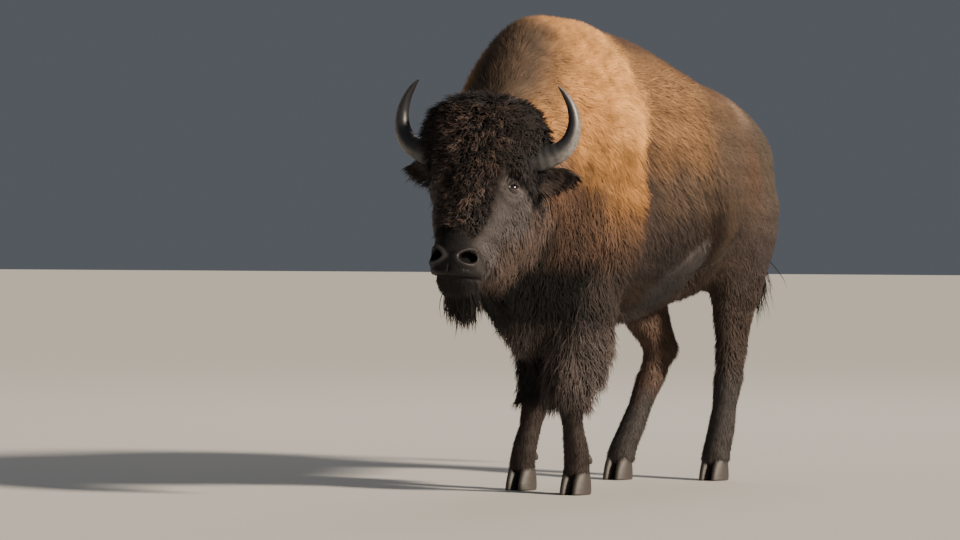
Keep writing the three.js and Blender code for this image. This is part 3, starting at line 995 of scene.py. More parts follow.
def refine_head(piece):
    """Makes the skin finer in three steps: on the head, round the muzzle and the eyes, and at the lids."""
    for level, smoothing in ((0, 4), (1, 3), (2, 2)):
        points = points_of(piece.data)
        s, d, o = in_face(points)
        close = from_eyes(points)
        if level == 0:
            chosen = (Regions(points).head > 0.5) & (d > 0.0) & (o > -0.16)
        elif level == 1:
            muzzle = (d > 0.35) & (np.abs(s) < 0.12) & (d < 0.6) & (o > -0.12)
            chosen = muzzle | (close < 0.055)
        else:
            chosen = close < 0.036
            for _, side in SIDES:
                points = press_eye(points, side)
            move(piece.data, points)
        refine(piece, chosen)
        old = points_of(piece.data)
        fresh = Neighbours(piece.data).smooth(old, smoothing, 0.5)
        points = old + fade(0.0, 0.3, Regions(old).head)[:, None] * (fresh - old)
        move(piece.data, points)
    return points


def make_skin():
    """The skin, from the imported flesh: smoothed, drawn in, refined at the head and carved there."""
    piece = one_surface(coat_settings().voxel)
    points = refine_head(piece)
    mesh = piece.data
    corners = triangles_of(mesh)[0]
    points = shape_head(points, normals_of(points, corners))
    points = press_mouth(points, normals_of(points, corners))
    s, d, o = in_face(points)
    # pit: the hollow inside each nostril, painted nearly black as painted shade.
    pit = Regions(points).head * fade(1.12, 0.98, nostril_reach(np.abs(s), d)) * fade(-0.012, 0.012, o)
    for _, side in SIDES:
        points = press_muzzle(points, side)
        points = press_eye(points, side)
    move(mesh, points)
    mesh.shade_smooth()
    mesh.update()
    r = Regions(points)
    set_values(mesh, "coat_colour", markings(r) * 0.95 * (1 - 0.97 * pit[:, None]), "FLOAT_COLOR")
    set_values(mesh, "bare", np.clip(r.pad, r.nostril_rim, 1) * (1 - pit))
    unwrap(piece, 0.002, True)
    mesh.materials.clear()
    mesh.materials.append(skin_material("skin"))
    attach(piece, "root")
    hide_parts(*FLESH)


# ---- Coat ----


class Roots:
    """Random places on the skin, with the normal, the coat's regions and the unwrap's place at each."""

    def __init__(self, skin, density, seed):
        mesh = skin.data
        points = points_of(mesh)
        corners, loops = triangles_of(mesh)
        normals = normals_of(points, corners)
        uv = np.empty(len(mesh.loops) * 2, np.float32)
        mesh.uv_layers["OFBake"].uv.foreach_get("vector", uv)
        uv = uv.reshape(-1, 2)
        a, b, c = (points[corners[:, k]] for k in range(3))
        area = np.linalg.norm(np.cross(b - a, c - a), axis=1) / 2
        rng = np.random.default_rng(seed)
        expected = area * density(Regions((a + b + c) / 3)) * coat_settings().density
        count = np.floor(expected + rng.random(len(expected))).astype(int)
        chosen = np.repeat(np.arange(len(count)), count)
        share = rng.random((len(chosen), 2))
        share = np.where(share.sum(1, keepdims=True) > 1, 1 - share, share)
        weight = np.column_stack((1 - share.sum(1), share))
        at = corners[chosen]
        self.rng = rng
        self.p = np.einsum("nk,nkj->nj", weight, points[at])
        self.normal = unit(np.einsum("nk,nkj->nj", weight, normals[at]))
        self.uv = np.einsum("nk,nkj->nj", weight, uv[loops[chosen]])
        self.r = Regions(self.p)

    def by_side(self):
        """Puts the roots in order from the bull's right to its left, so that a split coat is compact."""
        order = np.argsort(self.r.x + 0.3 * self.r.y, kind="stable")
        self.p, self.normal, self.uv = self.p[order], self.normal[order], self.uv[order]
        self.r = Regions(self.p)
        return self


def lie_of(r, normal):
    """The way the hair lies at each root, along the skin."""
    back, drop = BACK, -UP
    top = fade(0.1, 0.7, normal[:, 2])[:, None]
    trunk = (0.66 + 0.34 * top) * back + 0.76 * (1 - top) * drop
    wool = (0.30 + 0.7 * top) * back + 0.96 * (1 - top) * drop
    way = r.blend(
        trunk + np.maximum(r.cape, r.neck)[:, None] * (wool - trunk),
        (r.fringe, 0.80 * back + 0.66 * drop),
        (r.neck * fade(1.15, 1.0, r.z), 0.16 * back + 1.0 * drop),
        (r.chest, 0.10 * back + 1.0 * drop),
        (r.belly, 0.75 * back + 0.5 * drop),
        (r.hind, 0.22 * back + 0.97 * drop),
        (r.fore, 0.12 * back + 1.0 * drop),
        (r.shank, 1.0 * drop),
    )
    # On the head the hair runs down the nose, and down and back over the cheeks to the jaw.
    cheek = fade(0.05, -0.04, r.o)[:, None]
    face = FACE_DOWN * (1 - 0.35 * cheek) - cheek * FACE_OUT
    side = np.sign(r.s)[:, None] * fade(0.0, 0.10, r.wide)[:, None] * HEAD_X
    crown = FACE_DOWN * 0.6 + side * 0.8
    head = face + r.bonnet[:, None] * (crown - face)
    way = way + r.head[:, None] * (head - way)
    return unit(along_skin(way, normal) + 1e-9)


def along_skin(v, normal):
    """The part of each direction that is square to the normal."""
    return v - (v * normal).sum(1, keepdims=True) * normal


def turned(way, normal, angle):
    """Turns directions about the normals by angles."""
    across = np.cross(normal, way)
    return way * np.cos(angle)[:, None] + across * np.sin(angle)[:, None]


LOCK_KEYS = 4096
CELL_HASH = (73856093, 19349663, 83492791)  # large primes


def gathered(p, way, normal, spacing, share, seed):
    """Shifts that draw the tips of neighbouring tufts together into locks about that far apart."""
    cell = np.floor(p / spacing).astype(int)
    key = (cell * np.array(CELL_HASH)).sum(1) % LOCK_KEYS
    jitter = np.random.default_rng(seed).uniform(0.15, 0.85, (LOCK_KEYS, 3))
    pull = along_skin((cell + jitter[key]) * spacing - p, normal)
    pull = pull - 0.5 * (pull * way).sum(1, keepdims=True) * way
    return share * pull, key


# tufts on a square metre of skin
DENSE = {
    "cape": 92000,
    "trunk": 27000,
    "ribs": 8000,
    "thighs": 26000,
    "mane": 21000,
    "forelegs": 21000,
    "shanks": 48000,
    "bonnet": 42000,
    "face": 100000,
    "lids": 60000,
    "cheeks": 42000,
    "beard": 80000,
    "ears": 48000,
    "tail": 130000,
}
SUNK = 0.0015  # the tufts' roots, below the skin
SHORTEST, LONGEST = 0.72, 1.18  # of the form's length
THINNEST, WIDEST = 0.70, 1.25
MAP_WIDTH, MAP_HEIGHT = 0.0024, 0.0028  # of a tuft's patch on the unwrap


def tufts(
    name, roots, form=None, curl=0.0, turns=1.0, rings=3, lock=None, tilt=0.25,
    lie=None, free=False, crisp=0.55, tint=None, uneven=1.0,
):
    """Closed three-sided tufts, in pieces of limited size. Each follows a curve that leaves its root at
    the angle `lift` above the skin, bends down to the angle `flare` and sags by `droop`, with a wave of
    `turns` turns and `curl` times its length. Its width swells from the root and narrows to a point.
    The hair lies along the skin, or leaves it along `lie` as given where it hangs free. `crisp` is how much
    a tuft's own flanks catch the light, and `uneven` how much the tone changes from tuft to tuft. `tint` is
    the tufts' colours where they aren't the coat's markings."""
    rng, n, normal = roots.rng, len(roots.p), roots.normal
    long, wide, lift, flare, droop = (np.broadcast_to(v, (n,)) for v in (form or coat_form(roots.r)))
    wander = tilt * (ripple(roots.p, 0.09, 21) + 0.8 * ripple(roots.p, 0.03, 22)) + 0.18 * rng.normal(size=n)
    if lie is None:
        lie = lie_of(roots.r, normal)
    else:
        lie = unit(lie if free else along_skin(lie, normal))
    way = turned(lie, normal, wander)
    long = long * rng.uniform(SHORTEST, LONGEST, n)
    wide = wide * rng.uniform(THINNEST, WIDEST, n)
    lift = lift + 0.07 * rng.normal(size=n)
    flare = flare + 0.08 * rng.normal(size=n)
    first = np.cos(lift)[:, None] * way + np.sin(lift)[:, None] * normal
    last = np.cos(flare)[:, None] * way + np.sin(flare)[:, None] * normal
    last = unit(last - droop[:, None] * UP)
    pull, key = gathered(roots.p, way, normal, *lock) if lock else (0.0, np.zeros(n, int))
    start = roots.p - SUNK * normal
    mid = start + 0.5 * long[:, None] * first
    tip = mid + 0.5 * long[:, None] * last + pull
    across = unit(np.cross(normal, first))
    rise = np.cross(first, across)

    # The spine is a Bezier curve through start, mid and tip, with its wave added.
    t = np.append(np.linspace(0, 0.55 if rings == 2 else 0.80, rings), 1.0)
    phase = rng.uniform(0, 2 * math.pi, n)
    swing = 2 * math.pi * turns * t[None, :] + phase[:, None]
    sway = (np.broadcast_to(curl, (n,)) * long)[:, None] * t[None, :] ** 0.7
    weights = ((1 - t) ** 2, 2 * t * (1 - t), t**2)
    spine = sum(share[None, :, None] * knot[:, None] for share, knot in zip(weights, (start, mid, tip)))
    spine = spine + (sway * np.sin(swing))[..., None] * across[:, None]
    spine = spine + (sway * 0.6 * (np.cos(swing) + 0.6))[..., None] * rise[:, None]

    root = 1.0 if rings < 3 else 0.75
    girth = np.interp(t, (0, 0.25, 0.6, 0.8, 1), (root, 1.0, 0.85, 0.5, 0))[None, :-1, None]
    girth = girth * wide[:, None, None] / 2
    body = spine[:, :-1]
    flank, under = girth * across[:, None], 0.25 * girth * rise[:, None]
    over = 0.55 * girth * rise[:, None]
    ring = np.stack((body - flank - under, body + flank - under, body + over), 2)
    points = np.concatenate((ring.reshape(n, rings * 3, 3), spine[:, -1:]), 1)
    # The light falls on a tuft much as on the coat as a whole, and a little on its own two flanks.
    soft = np.stack((normal - crisp * across, normal + crisp * across, normal + 0.45 * crisp * rise), 1)
    shade = np.concatenate((np.tile(unit(soft), (1, rings, 1)), unit(normal + 0.5 * last)[:, None]), 1)

    per = rings * 3 + 1
    ring = np.arange(rings)
    quads = bands(ring[:-1], ring[1:], 3)
    top = per - 4
    cone = np.array([(top + j, top + (j + 1) % 3, per - 1) for j in range(3)] + [(0, 2, 1)])
    along = np.append(np.repeat(t[:-1], 3), 1.0)
    tone = np.clip(0.5 + 0.17 * uneven * (rng.normal(size=n) + np.sin(key * 1.7)), 0, 1)
    colours = markings(roots.r) if tint is None else np.broadcast_to(tint, (n, 3))
    side = np.append(np.tile((-MAP_WIDTH / 2, MAP_WIDTH / 2, 0.0), rings), 0.0)
    patch = np.column_stack((side, MAP_HEIGHT * (along - 0.5)))

    parts = max(1, math.ceil(n / int(PIECE_TRIANGLES / (6 * (rings - 1) + 4))))
    pieces = []
    for number, some in enumerate(np.array_split(np.arange(n), parts), 1):
        count = len(some)
        offset = np.arange(count)[:, None, None] * per
        faces = [(offset + quads).reshape(-1, 4), (offset + cone).reshape(-1, 3)]
        piece_name = name if parts == 1 else f"{name}_{number}"
        piece = build(piece_name, points[some].reshape(-1, 3), faces, coat_material())
        mesh = piece.data
        corners = np.concatenate([group.ravel() for group in faces])
        set_map(mesh, "OFBake", (roots.uv[some][:, None] + patch[None]).reshape(-1, 2), corners)
        set_values(mesh, "coat_colour", np.repeat(colours[some], per, 0), "FLOAT_COLOR")
        set_values(mesh, "along", np.tile(along, count))
        set_values(mesh, "tone", np.repeat(tone[some], per))
        mesh.normals_split_custom_set_from_vertices(shade[some].reshape(-1, 3))
        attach(piece, "root")
        pieces.append(piece)
    return pieces


def skin_roots(density, number):
    """Roots on the skin. number sets their seed apart from the other coats'."""
    return Roots(bpy.data.objects["skin"], density, coat_settings().seed + number)


class BisonOperator:
    """What the operators share."""

    bl_options = {"REGISTER", "UNDO"}


class BISON_OT_skin(BisonOperator, bpy.types.Operator):
    """Makes one skin over all the flesh, with its muzzle, lids, bones and folds"""

    bl_idname = "bison.skin"
    bl_label = "Skin"

    def execute(self, context):
        make_skin()
        return {"FINISHED"}


class BISON_OT_cape(BisonOperator, bpy.types.Operator):
    """Grows the woolly coat of hump and shoulders"""

    bl_idname = "bison.cape"
    bl_label = "Cape"

    def execute(self, context):
        roots = skin_roots(lambda r: DENSE["cape"] * r.cape * (1 - r.head) * (1 - r.fore) * (1 - r.locks), 0)
        lock = (0.022, 0.32, 31)
        tufts("coat_cape", roots.by_side(), rings=1, lock=lock, tilt=0.45, crisp=0.6, uneven=0.9)
        return {"FINISHED"}


class BISON_OT_hindquarters(BisonOperator, bpy.types.Operator):
    """Grows the short coat of ribs, loin, rump, thighs and belly"""

    bl_idname = "bison.hindquarters"
    bl_label = "Trunk"

    def execute(self, context):
        def short(r):
            plain = DENSE["trunk"] * (1 - r.cape) * (1 - r.head) * (1 - r.fore)
            return plain * (1 - r.shank) * (1 - r.tail) * (1 - r.hind)

        roots = skin_roots(short, 1)
        tufts("coat_trunk", roots.by_side(), rings=1, lock=(0.020, 0.25, 32), crisp=0.6)
        roots = skin_roots(lambda r: DENSE["ribs"] * r.ribs, 11)
        bleached = markings(roots.r) * roots.rng.uniform(0.7, 1.45, (len(roots.p), 1))
        form, lock = (0.052, 0.0030, 0.30, 0.10, 0.10), (0.028, 0.35, 42)
        tufts("coat_ribs", roots, form, curl=0.05, rings=2, lock=lock, tilt=0.35, tint=bleached)
        roots = skin_roots(lambda r: DENSE["thighs"] * r.hind * (1 - r.shank), 12)
        tufts("coat_thighs", roots.by_side(), rings=2, lock=(0.022, 0.45, 43), crisp=0.6)
        return {"FINISHED"}


class BISON_OT_mane(BisonOperator, bpy.types.Operator):
    """Grows the long dark hair of neck, chest and throat"""

    bl_idname = "bison.mane"
    bl_label = "Mane"

    def execute(self, context):
        roots = skin_roots(lambda r: DENSE["mane"] * r.locks * (1 - r.head) * (1 - r.fore), 2)
        lock = (0.036, 0.60, 33)
        tufts("coat_mane", roots.by_side(), curl=0.06, turns=1.3, lock=lock, tilt=0.50, crisp=0.5)
        return {"FINISHED"}


class BISON_OT_forelegs(BisonOperator, bpy.types.Operator):
    """Grows the shaggy hair that hangs over the forearms to the knees"""

    bl_idname = "bison.forelegs"
    bl_label = "Forelegs"

    def execute(self, context):
        roots = skin_roots(lambda r: DENSE["forelegs"] * r.fore * (1 - r.shank), 3)
        lock = (0.038, 0.65, 34)
        tufts("coat_forelegs", roots.by_side(), curl=0.08, lock=lock, tilt=0.40, crisp=0.6, uneven=1.7)
        return {"FINISHED"}


class BISON_OT_shanks(BisonOperator, bpy.types.Operator):
    """Grows the short hair of the lower legs and the tail"""

    bl_idname = "bison.shanks"
    bl_label = "Lower legs and tail"

    def execute(self, context):
        roots = skin_roots(lambda r: DENSE["shanks"] * np.clip(r.shank + r.tail, 0, 1), 4)
        tufts("coat_shanks", roots.by_side(), rings=1, lock=(0.016, 0.40, 40), crisp=0.8)
        return {"FINISHED"}


class BISON_OT_bonnet(BisonOperator, bpy.types.Operator):
    """Grows the bonnet of curls between the horns, and the forelock down the nose"""

    bl_idname = "bison.bonnet"
    bl_label = "Bonnet"

    def execute(self, context):
        roots = skin_roots(lambda r: DENSE["bonnet"] * r.bonnet, 5).by_side()
        curl, lock = 0.20 - 0.14 * roots.r.crown, (0.022, 0.50, 35)
        tufts("coat_bonnet", roots, curl=curl, turns=0.8, lock=lock, tilt=0.9, crisp=0.9)
        return {"FINISHED"}


class BISON_OT_face(BisonOperator, bpy.types.Operator):
    """Grows the short hair of nose and lids, and the longer hair of cheeks and jaw"""

    bl_idname = "bison.face"
    bl_label = "Face"

    def execute(self, context):
        def short(r):
            plain = r.head * (1 - r.bonnet) * (1 - r.pad) * (1 - r.cheek) * (1 - r.jaw) * (1 - r.nostril)
            dense = DENSE["face"] + DENSE["lids"] * r.orbit
            return dense * plain * fade(0.0235, 0.0275, from_eyes(r.p))

        def shaggy(r):
            long = 1 - (1 - r.cheek) * (1 - r.jaw)
            return DENSE["cheeks"] * r.head * (1 - r.bonnet) * long * (1 - r.pad)

        tufts("coat_face", skin_roots(short, 6), rings=1, lock=(0.014, 0.25, 36))
        roots = skin_roots(shaggy, 10)
        tufts("coat_cheeks", roots, curl=0.06, rings=2, lock=(0.024, 0.35, 41), crisp=0.45)
        return {"FINISHED"}


class BISON_OT_beard(BisonOperator, bpy.types.Operator):
    """Hangs the beard's long locks from chin and jaw"""

    bl_idname = "bison.beard"
    bl_label = "Beard"

    def execute(self, context):
        def under_chin(r):
            under = fade(-0.372, -0.392, r.h + 0.37 * r.f) * fade(0.0, 0.03, r.f) * fade(0.175, 0.145, r.f)
            return DENSE["beard"] * r.head * under * fade(0.056, 0.042, r.wide)

        roots = skin_roots(under_chin, 7)
        long = (0.56 + roots.r.h) * roots.rng.uniform(0.70, 1.10, len(roots.p))
        form, lock = (np.clip(long, 0.05, 0.20), 0.0050, 0.9, 0.3, 2.8), (0.040, 0.80, 37)
        made = tufts("beard_locks", roots, form, curl=0.035, rings=5, lock=lock)
        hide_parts("beard")
        return {"FINISHED"}


# ---- Horns ----

# left, back and up of the horns' roots, and the radius
HORN_PATH = (
    (0.110, 0.000, -0.008, 0.044),
    (0.180, 0.004, -0.006, 0.0415),
    (0.224, 0.010, 0.004, 0.0365),
    (0.264, 0.018, 0.026, 0.0315),
    (0.290, 0.025, 0.064, 0.026),
    (0.297, 0.030, 0.115, 0.0205),
    (0.285, 0.029, 0.165, 0.0150),
    (0.262, 0.022, 0.205, 0.0092),
    (0.240, 0.015, 0.230, 0.0018),
)


def carried(path, radii, axis, around):
    """A closed tube along a path. Each ring is the path's point plus its radius times (cosine times the
    side, plus sine times the up), both square to the path."""
    along = unit(np.gradient(path, axis=0))
    side = unit(axis - (along @ axis)[:, None] * along)
    up = np.cross(along, side)
    angle = circle(around)
    ring = np.cos(angle)[None, :, None] * side[:, None] + np.sin(angle)[None, :, None] * up[:, None]
    points = (path[:, None] + radii[..., None] * ring).reshape(-1, 3)
    return np.vstack((points, path[0], path[-1])), capped(len(path), around)


def horn_material(colours):
    """Grey-black horn: fibrous and pale at the root and along the outer curve, partly wear and partly painted
    highlight, and polished at the tip.
    """
    material, tree, shader = new_material("horn")
    grain = fine_bump(tree, shader, 90, 0.35, 0.0012)
    mask = add(tree, "Math", {0: read(tree, "worn_and_highlight"), 1: grain}, operation="MULTIPLY")
    rough = ranged(tree, read(tree, "along"), 0.58, 0.30)
    base = mixed(tree, mask, tuple(colours.horn), tuple(colours.worn_and_highlight))
    feed(tree, shader, {"Base Color": base, "Roughness": rough})
    return material


class BISON_OT_horns(BisonOperator, bpy.types.Operator):
    """Sweeps the two horns out, up and in, with growth rings that fade towards the tip"""

    bl_idname = "bison.horns"
    bl_label = "Horns"

    def execute(self, context):
        material = horn_material(context.scene.bison_horn)
        rows, around = 150, 44
        curve = spline(HORN_PATH, rows)
        t, angle = np.linspace(0, 1, rows), circle(around)
        # The radius has growth rings, a sine along the horn, and flutes, sines round it.
        ridges = np.sin(2 * math.pi * (13 * t[:, None] ** 0.8 + 0.05 * np.sin(3 * angle)[None, :]))
        flutes = 0.010 * np.sin(9 * angle + 0.8)[None, :] + 0.006 * np.sin(23 * angle)[None, :]
        uneven = 1 + 0.020 * ridges * fade(0.62, 0.2, t)[:, None] + flutes * fade(0.8, 0.3, t)[:, None]
        every = np.append(np.repeat(t, around), (0, 1))
        for name, side in SIDES:
            path = from_head(curve[:, :3] * (side, 1, 1))
            points, faces = carried(path, curve[:, 3:] * uneven, HEAD_Y, around)
            piece = build("horn_" + name + "_sheath", points, outward(points, faces), material)
            # The bend's outer side is the one that faces away from the middle of the horn's arc.
            hub = from_head((side * 0.150, 0.02, 0.13))
            away = unit(points - np.append(np.repeat(path, around, 0), path[[0, -1]], 0) + 1e-9)
            # The outer curve is painted pale: partly wear, partly painted highlight of the light along it.
            outer = fade(0.15, 0.95, (away * unit(points - hub)).sum(1))
            outer = outer * (0.06 + 0.94 * fade(0.12, 0.48, every))
            low = np.append(np.repeat(fade(0.40, 0.10, t), around), (0, 0))
            set_values(piece.data, "worn_and_highlight", np.clip(outer + 0.04 * low, 0, 1))
            set_values(piece.data, "along", every)
            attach(piece, "root")
            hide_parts("horn_" + name)
        return {"FINISHED"}


# ---- Ears ----

# left, back and up of the horns' roots
EAR_PATH = ((0.095, 0.062, -0.066), (0.165, 0.074, -0.072), (0.225, 0.086, -0.066), (0.278, 0.096, -0.052))
EAR_HALF = 0.038
EAR_CUP = 0.020
EAR_THICKNESS = 0.0035


def ear_surface(side, rows=36, around=28):
    """A cupped leaf: an outer and an inner sheet that share their edge. Across it, x = half width times
    the sine, and the sheet sinks by the cup's depth times the square of the cosine."""
    path = spline(EAR_PATH, rows)
    angle = circle(around)
    t = np.linspace(0, 1, rows)
    half = EAR_HALF * np.interp(t, (0, 0.2, 0.5, 0.8, 1), (0.55, 0.85, 1.0, 0.7, 0.06))
    wide = np.sin(angle)[None, :] * half[:, None]
    sunk = EAR_CUP * (1 - np.sin(angle) ** 2)[None, :] * (half / EAR_HALF)[:, None]
    sunk = sunk + EAR_THICKNESS * np.cos(angle)[None, :]
    sheet = path[:, None] + wide[..., None] * (0.1, 0.15, 1.0) + sunk[..., None] * (0.0, 1.0, 0.15)
    points = np.vstack((sheet.reshape(-1, 3), path[[0, -1]]))
    return from_head(points * (side, 1, 1)), capped(rows, around)


class BISON_OT_ears(BisonOperator, bpy.types.Operator):
    """Cups the two ears below the horns and hangs them with shaggy hair"""

    bl_idname = "bison.ears"
    bl_label = "Ears"

    def execute(self, context):
        coat = coat_settings()
        material = skin_material("ear_skin")
        for name, side in SIDES:
            points, faces = ear_surface(side)
            piece = build("ear_" + name + "_cup", points, outward(points, faces), material)
            set_values(piece.data, "coat_colour", np.tile(coat.umber, (len(points), 1)), "FLOAT_COLOR")
            set_values(piece.data, "bare", np.zeros(len(points)))
            unwrap(piece, 0.01, False)
            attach(piece, "root")
            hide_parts("ear_" + name)
            roots = Roots(piece, lambda r: np.full(r.y.shape, DENSE["ears"]), coat.seed + 8)
            hang = unit(side * HEAD_X + 0.25 * HEAD_Y - 0.35 * HEAD_Z)
            lie = np.broadcast_to(hang, roots.p.shape)
            form, tint = (0.050, 0.0036, 0.50, 0.25, 0.8), 2.2 * np.array(coat.dark)
            tufts("coat_ear_" + name, roots, form, lock=(0.02, 0.5, 38), lie=lie, tint=tint)
        return {"FINISHED"}


# ---- Eyes ----


EYE_BLACK = (0.002, 0.002, 0.003)


def eye_material(colours):
    """Wet dark eye: pupil, iris, dark ring and brownish white, by the angle from the gaze."""
    material, tree, shader = new_material("eye")
    ramp = tree.nodes.new("ShaderNodeValToRGB")
    feed(tree, ramp, {"Fac": read(tree, "from_gaze")})
    stops = ramp.color_ramp.elements
    iris, white = tuple(colours.iris), tuple(colours.white)
    stops[0].position, stops[0].color = 0.0, (*EYE_BLACK, 1)
    stops[1].position, stops[1].color = 1.0, (*white, 1)
    for place, value in (
        (0.16, EYE_BLACK),
        (0.20, iris),
        (0.40, iris),
        (0.43, EYE_BLACK),
        (0.46, EYE_BLACK),
        (0.52, white),
    ):
        stops.new(place).color = (*value, 1)
    feed(tree, shader, {"Base Color": ramp.outputs["Color"], "Roughness": 0.12})
    feed(tree, shader, {"Coat Weight": 1.0, "Coat Roughness": 0.03})
    return material


def globe(at, radius, gaze, rows=39, around=48):
    """A ball about the gaze, with the cornea raised as a smaller dome over its front: the radius grows by
    up to 7% towards the gaze. Gives its points, its faces and each point's angle from the gaze."""
    theta = np.linspace(0, math.pi, rows + 2)[1:-1]
    phi = circle(around)
    side = unit(np.cross(gaze, UP))
    up = np.cross(side, gaze)
    reach = radius * (1 + 0.07 * fade(0.75, 0.2, theta))
    round_gaze = np.cos(phi)[None, :, None] * side + np.sin(phi)[None, :, None] * up
    ring = np.sin(theta)[:, None, None] * round_gaze + np.cos(theta)[:, None, None] * gaze
    points = (at + reach[:, None, None] * ring).reshape(-1, 3)
    points = np.vstack((points, at + 1.07 * radius * gaze, at - radius * gaze))
    return points, capped(rows, around), np.append(np.repeat(theta, around), (0, math.pi))


def ring_tube(loop, radius, around=8):
    """A closed ring of tube round a closed loop of points, with its rings square to the loop."""
    along = unit(np.roll(loop, -1, 0) - np.roll(loop, 1, 0))
    side = unit(np.cross(along, loop - loop.mean(0) + 1e-6))
    up = np.cross(side, along)
    angle = circle(around)
    ring = np.cos(angle)[None, :, None] * side[:, None] + np.sin(angle)[None, :, None] * up[:, None]
    number = np.arange(len(loop))
    return (loop[:, None] + radius * ring).reshape(-1, 3), [bands(number, np.roll(number, -1), around)]


class BISON_OT_eyes(BisonOperator, bpy.types.Operator):
    """Sets the two wet eyes behind their lids, and a dark rim on each lid's edge"""

    bl_idname = "bison.eyes"
    bl_label = "Eyes"

    def execute(self, context):
        material = eye_material(context.scene.bison_horn)
        rim_material, tree, shader = new_material("lid_rim")
        feed(tree, shader, {"Base Color": (0.008, 0.006, 0.006), "Roughness": 0.3})
        for name, side in SIDES:
            at = EYES[name]
            along, up, out = eye_axes(side)
            gaze = unit(out + 0.24 * up - 0.22 * HEAD_Y)
            points, faces, angle = globe(at, EYE_RADIUS, gaze)
            piece = build("eyeball_" + name, points, outward(points, faces), material)
            set_values(piece.data, "from_gaze", angle / math.pi * 2)
            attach(piece, "root")
            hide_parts("eye_" + name)
            # The rim runs out along the upper lid's edge and back along the lower one's, on the ball.
            there = np.linspace(-0.0210, 0.0210, 30)
            a = np.concatenate((there, there[::-1][1:-1]))
            high, low = lid_gap(a)
            b = np.where(np.arange(len(a)) < len(there), high, low)
            c = np.sqrt(np.maximum((EYE_RADIUS + 0.0008) ** 2 - a**2 - b**2, 0))
            loop = at + a[:, None] * along + b[:, None] * up + c[:, None] * out
            points, faces = ring_tube(loop, 0.0017)
            rim = build("lid_rim_" + name, points, outward(points, faces), rim_material)
            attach(rim, "root")
        return {"FINISHED"}


# ---- Hooves ----


def hoof_material(colours):
    """Dark hoof horn with pale bands across it."""
    material, tree, shader = new_material("hoof")
    grain = fine_bump(tree, shader, (60, 60, 420), 0.5, 0.001)
    base = mixed(tree, grain, tuple(colours.hoof), tuple(2.6 * v for v in colours.hoof))
    feed(tree, shader, {"Base Color": base, "Roughness": 0.55})
    return material


# from the pastern to the sole: share of the way down, reach forward, reach back, share of the half width
TOE_LEVELS = (0, 0.15, 0.4, 0.7, 0.95, 1)
TOE_FORE = (0.022, 0.033, 0.044, 0.053, 0.0575, 0.055)
TOE_WIDE = (0.62, 0.84, 0.93, 0.98, 1.0, 0.94)
HEEL_LEVELS = (0, 0.15, 0.4, 0.8, 0.95, 1)
TOE_AFT = (0.030, 0.040, 0.045, 0.046, 0.044, 0.040)


def toe_surface(node, inner, rows=30, around=40):
    """A toe from inside the pastern down to its flat sole. Across it, x is a rounded cosine that is flatter
    on the inner side and tapers towards the toe's tip. Its reaches grow downwards as a rounded wall."""
    low, high = (np.array(v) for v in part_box(node))
    half = (high[0] - low[0]) / 2
    t = np.linspace(0, 1, rows)
    fore, aft = np.interp(t, TOE_LEVELS, TOE_FORE), np.interp(t, HEEL_LEVELS, TOE_AFT)
    wide = half * np.interp(t, TOE_LEVELS, TOE_WIDE)
    wide = wide * (1 + 0.006 * np.sin(2 * math.pi * 9 * t) * fade(0.2, 0.35, t))
    angle = circle(around)
    c, s = np.cos(angle), np.sin(angle)
    tip = np.maximum(s, 0) ** 2
    x = np.sign(c) * np.abs(c) ** 0.80
    x = np.where(x * inner > 0, x * 0.94, x) * (1 - 0.30 * tip)
    x = (low[0] + high[0]) / 2 + wide[:, None] * x + 0.10 * inner * half * tip
    y = high[1] - 0.046 + np.where(s > 0, -fore[:, None] * s, -aft[:, None] * s)
    top = high[2] + 0.016
    z = top + (low[2] - top) * t
    points = np.stack((x, y, np.broadcast_to(z[:, None], y.shape)), -1)
    ends = np.array([points[0].mean(0) + (0, 0, 0.004), points[-1].mean(0)])
    return np.vstack((points.reshape(-1, 3), ends)), capped(rows, around)


def dewclaw_surface(node):
    """A blunt cone from inside the leg, back and down. Its radius is a half width times the root of
    1 - t to the 2.2."""
    low, high = (np.array(v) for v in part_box(node))
    centre = (low[0] + high[0]) / 2
    root = np.array((centre, low[1] - 0.006, high[2] - 0.008))
    tip = np.array((centre, high[1] - 0.010, low[2] + 0.008))
    t = np.linspace(0, 1, 16)[:, None]
    radii = 0.0135 * np.sqrt(np.clip(1 - t**2.2, 0.0004, 1))
    return carried(root + t * (tip - root), radii, np.array((1.0, 0, 0)), around=24)


class BISON_OT_hooves(BisonOperator, bpy.types.Operator):
    """Shapes the eight toes and the eight dewclaws"""

    bl_idname = "bison.hooves"
    bl_label = "Hooves"

    def execute(self, context):
        material = hoof_material(context.scene.bison_horn)
        for leg in LEGS:
            for word, side in SIDES:
                toe, claw = f"{leg}_hoof_{word}", f"{leg}_dewclaw_{word}"
                for node, (points, faces) in ((toe, toe_surface(toe, -side)), (claw, dewclaw_surface(claw))):
                    piece = build(node + "_horn", points, outward(points, faces), material)
                    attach(piece, "root")
                    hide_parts(node)
        return {"FINISHED"}


class BISON_OT_tail_tuft(BisonOperator, bpy.types.Operator):
    """Hangs the long hair at the tail's end"""

    bl_idname = "bison.tail_tuft"
    bl_label = "Tail tuft"

    def execute(self, context):
        roots = skin_roots(lambda r: DENSE["tail"] * r.tail * fade(0.86, 0.78, r.z), 9)
        n = len(roots.p)
        lie = np.array((0.16, -0.24, -1.0)) + 0.08 * roots.rng.normal(size=(n, 3))
        form = (roots.rng.uniform(0.11, 0.22, n), 0.0036, 0.10, 0.0, 0.5)
        made = tufts("tail_locks", roots, form, curl=0.03, rings=5, tilt=0.05, lie=lie, free=True)
        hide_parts("tail_tuft")
        return {"FINISHED"}


# ---- Stage ----


AIM_LEFT, AIM_DOWN = 0.01115, 0.01003  # of the camera's view from straight ahead, as slopes
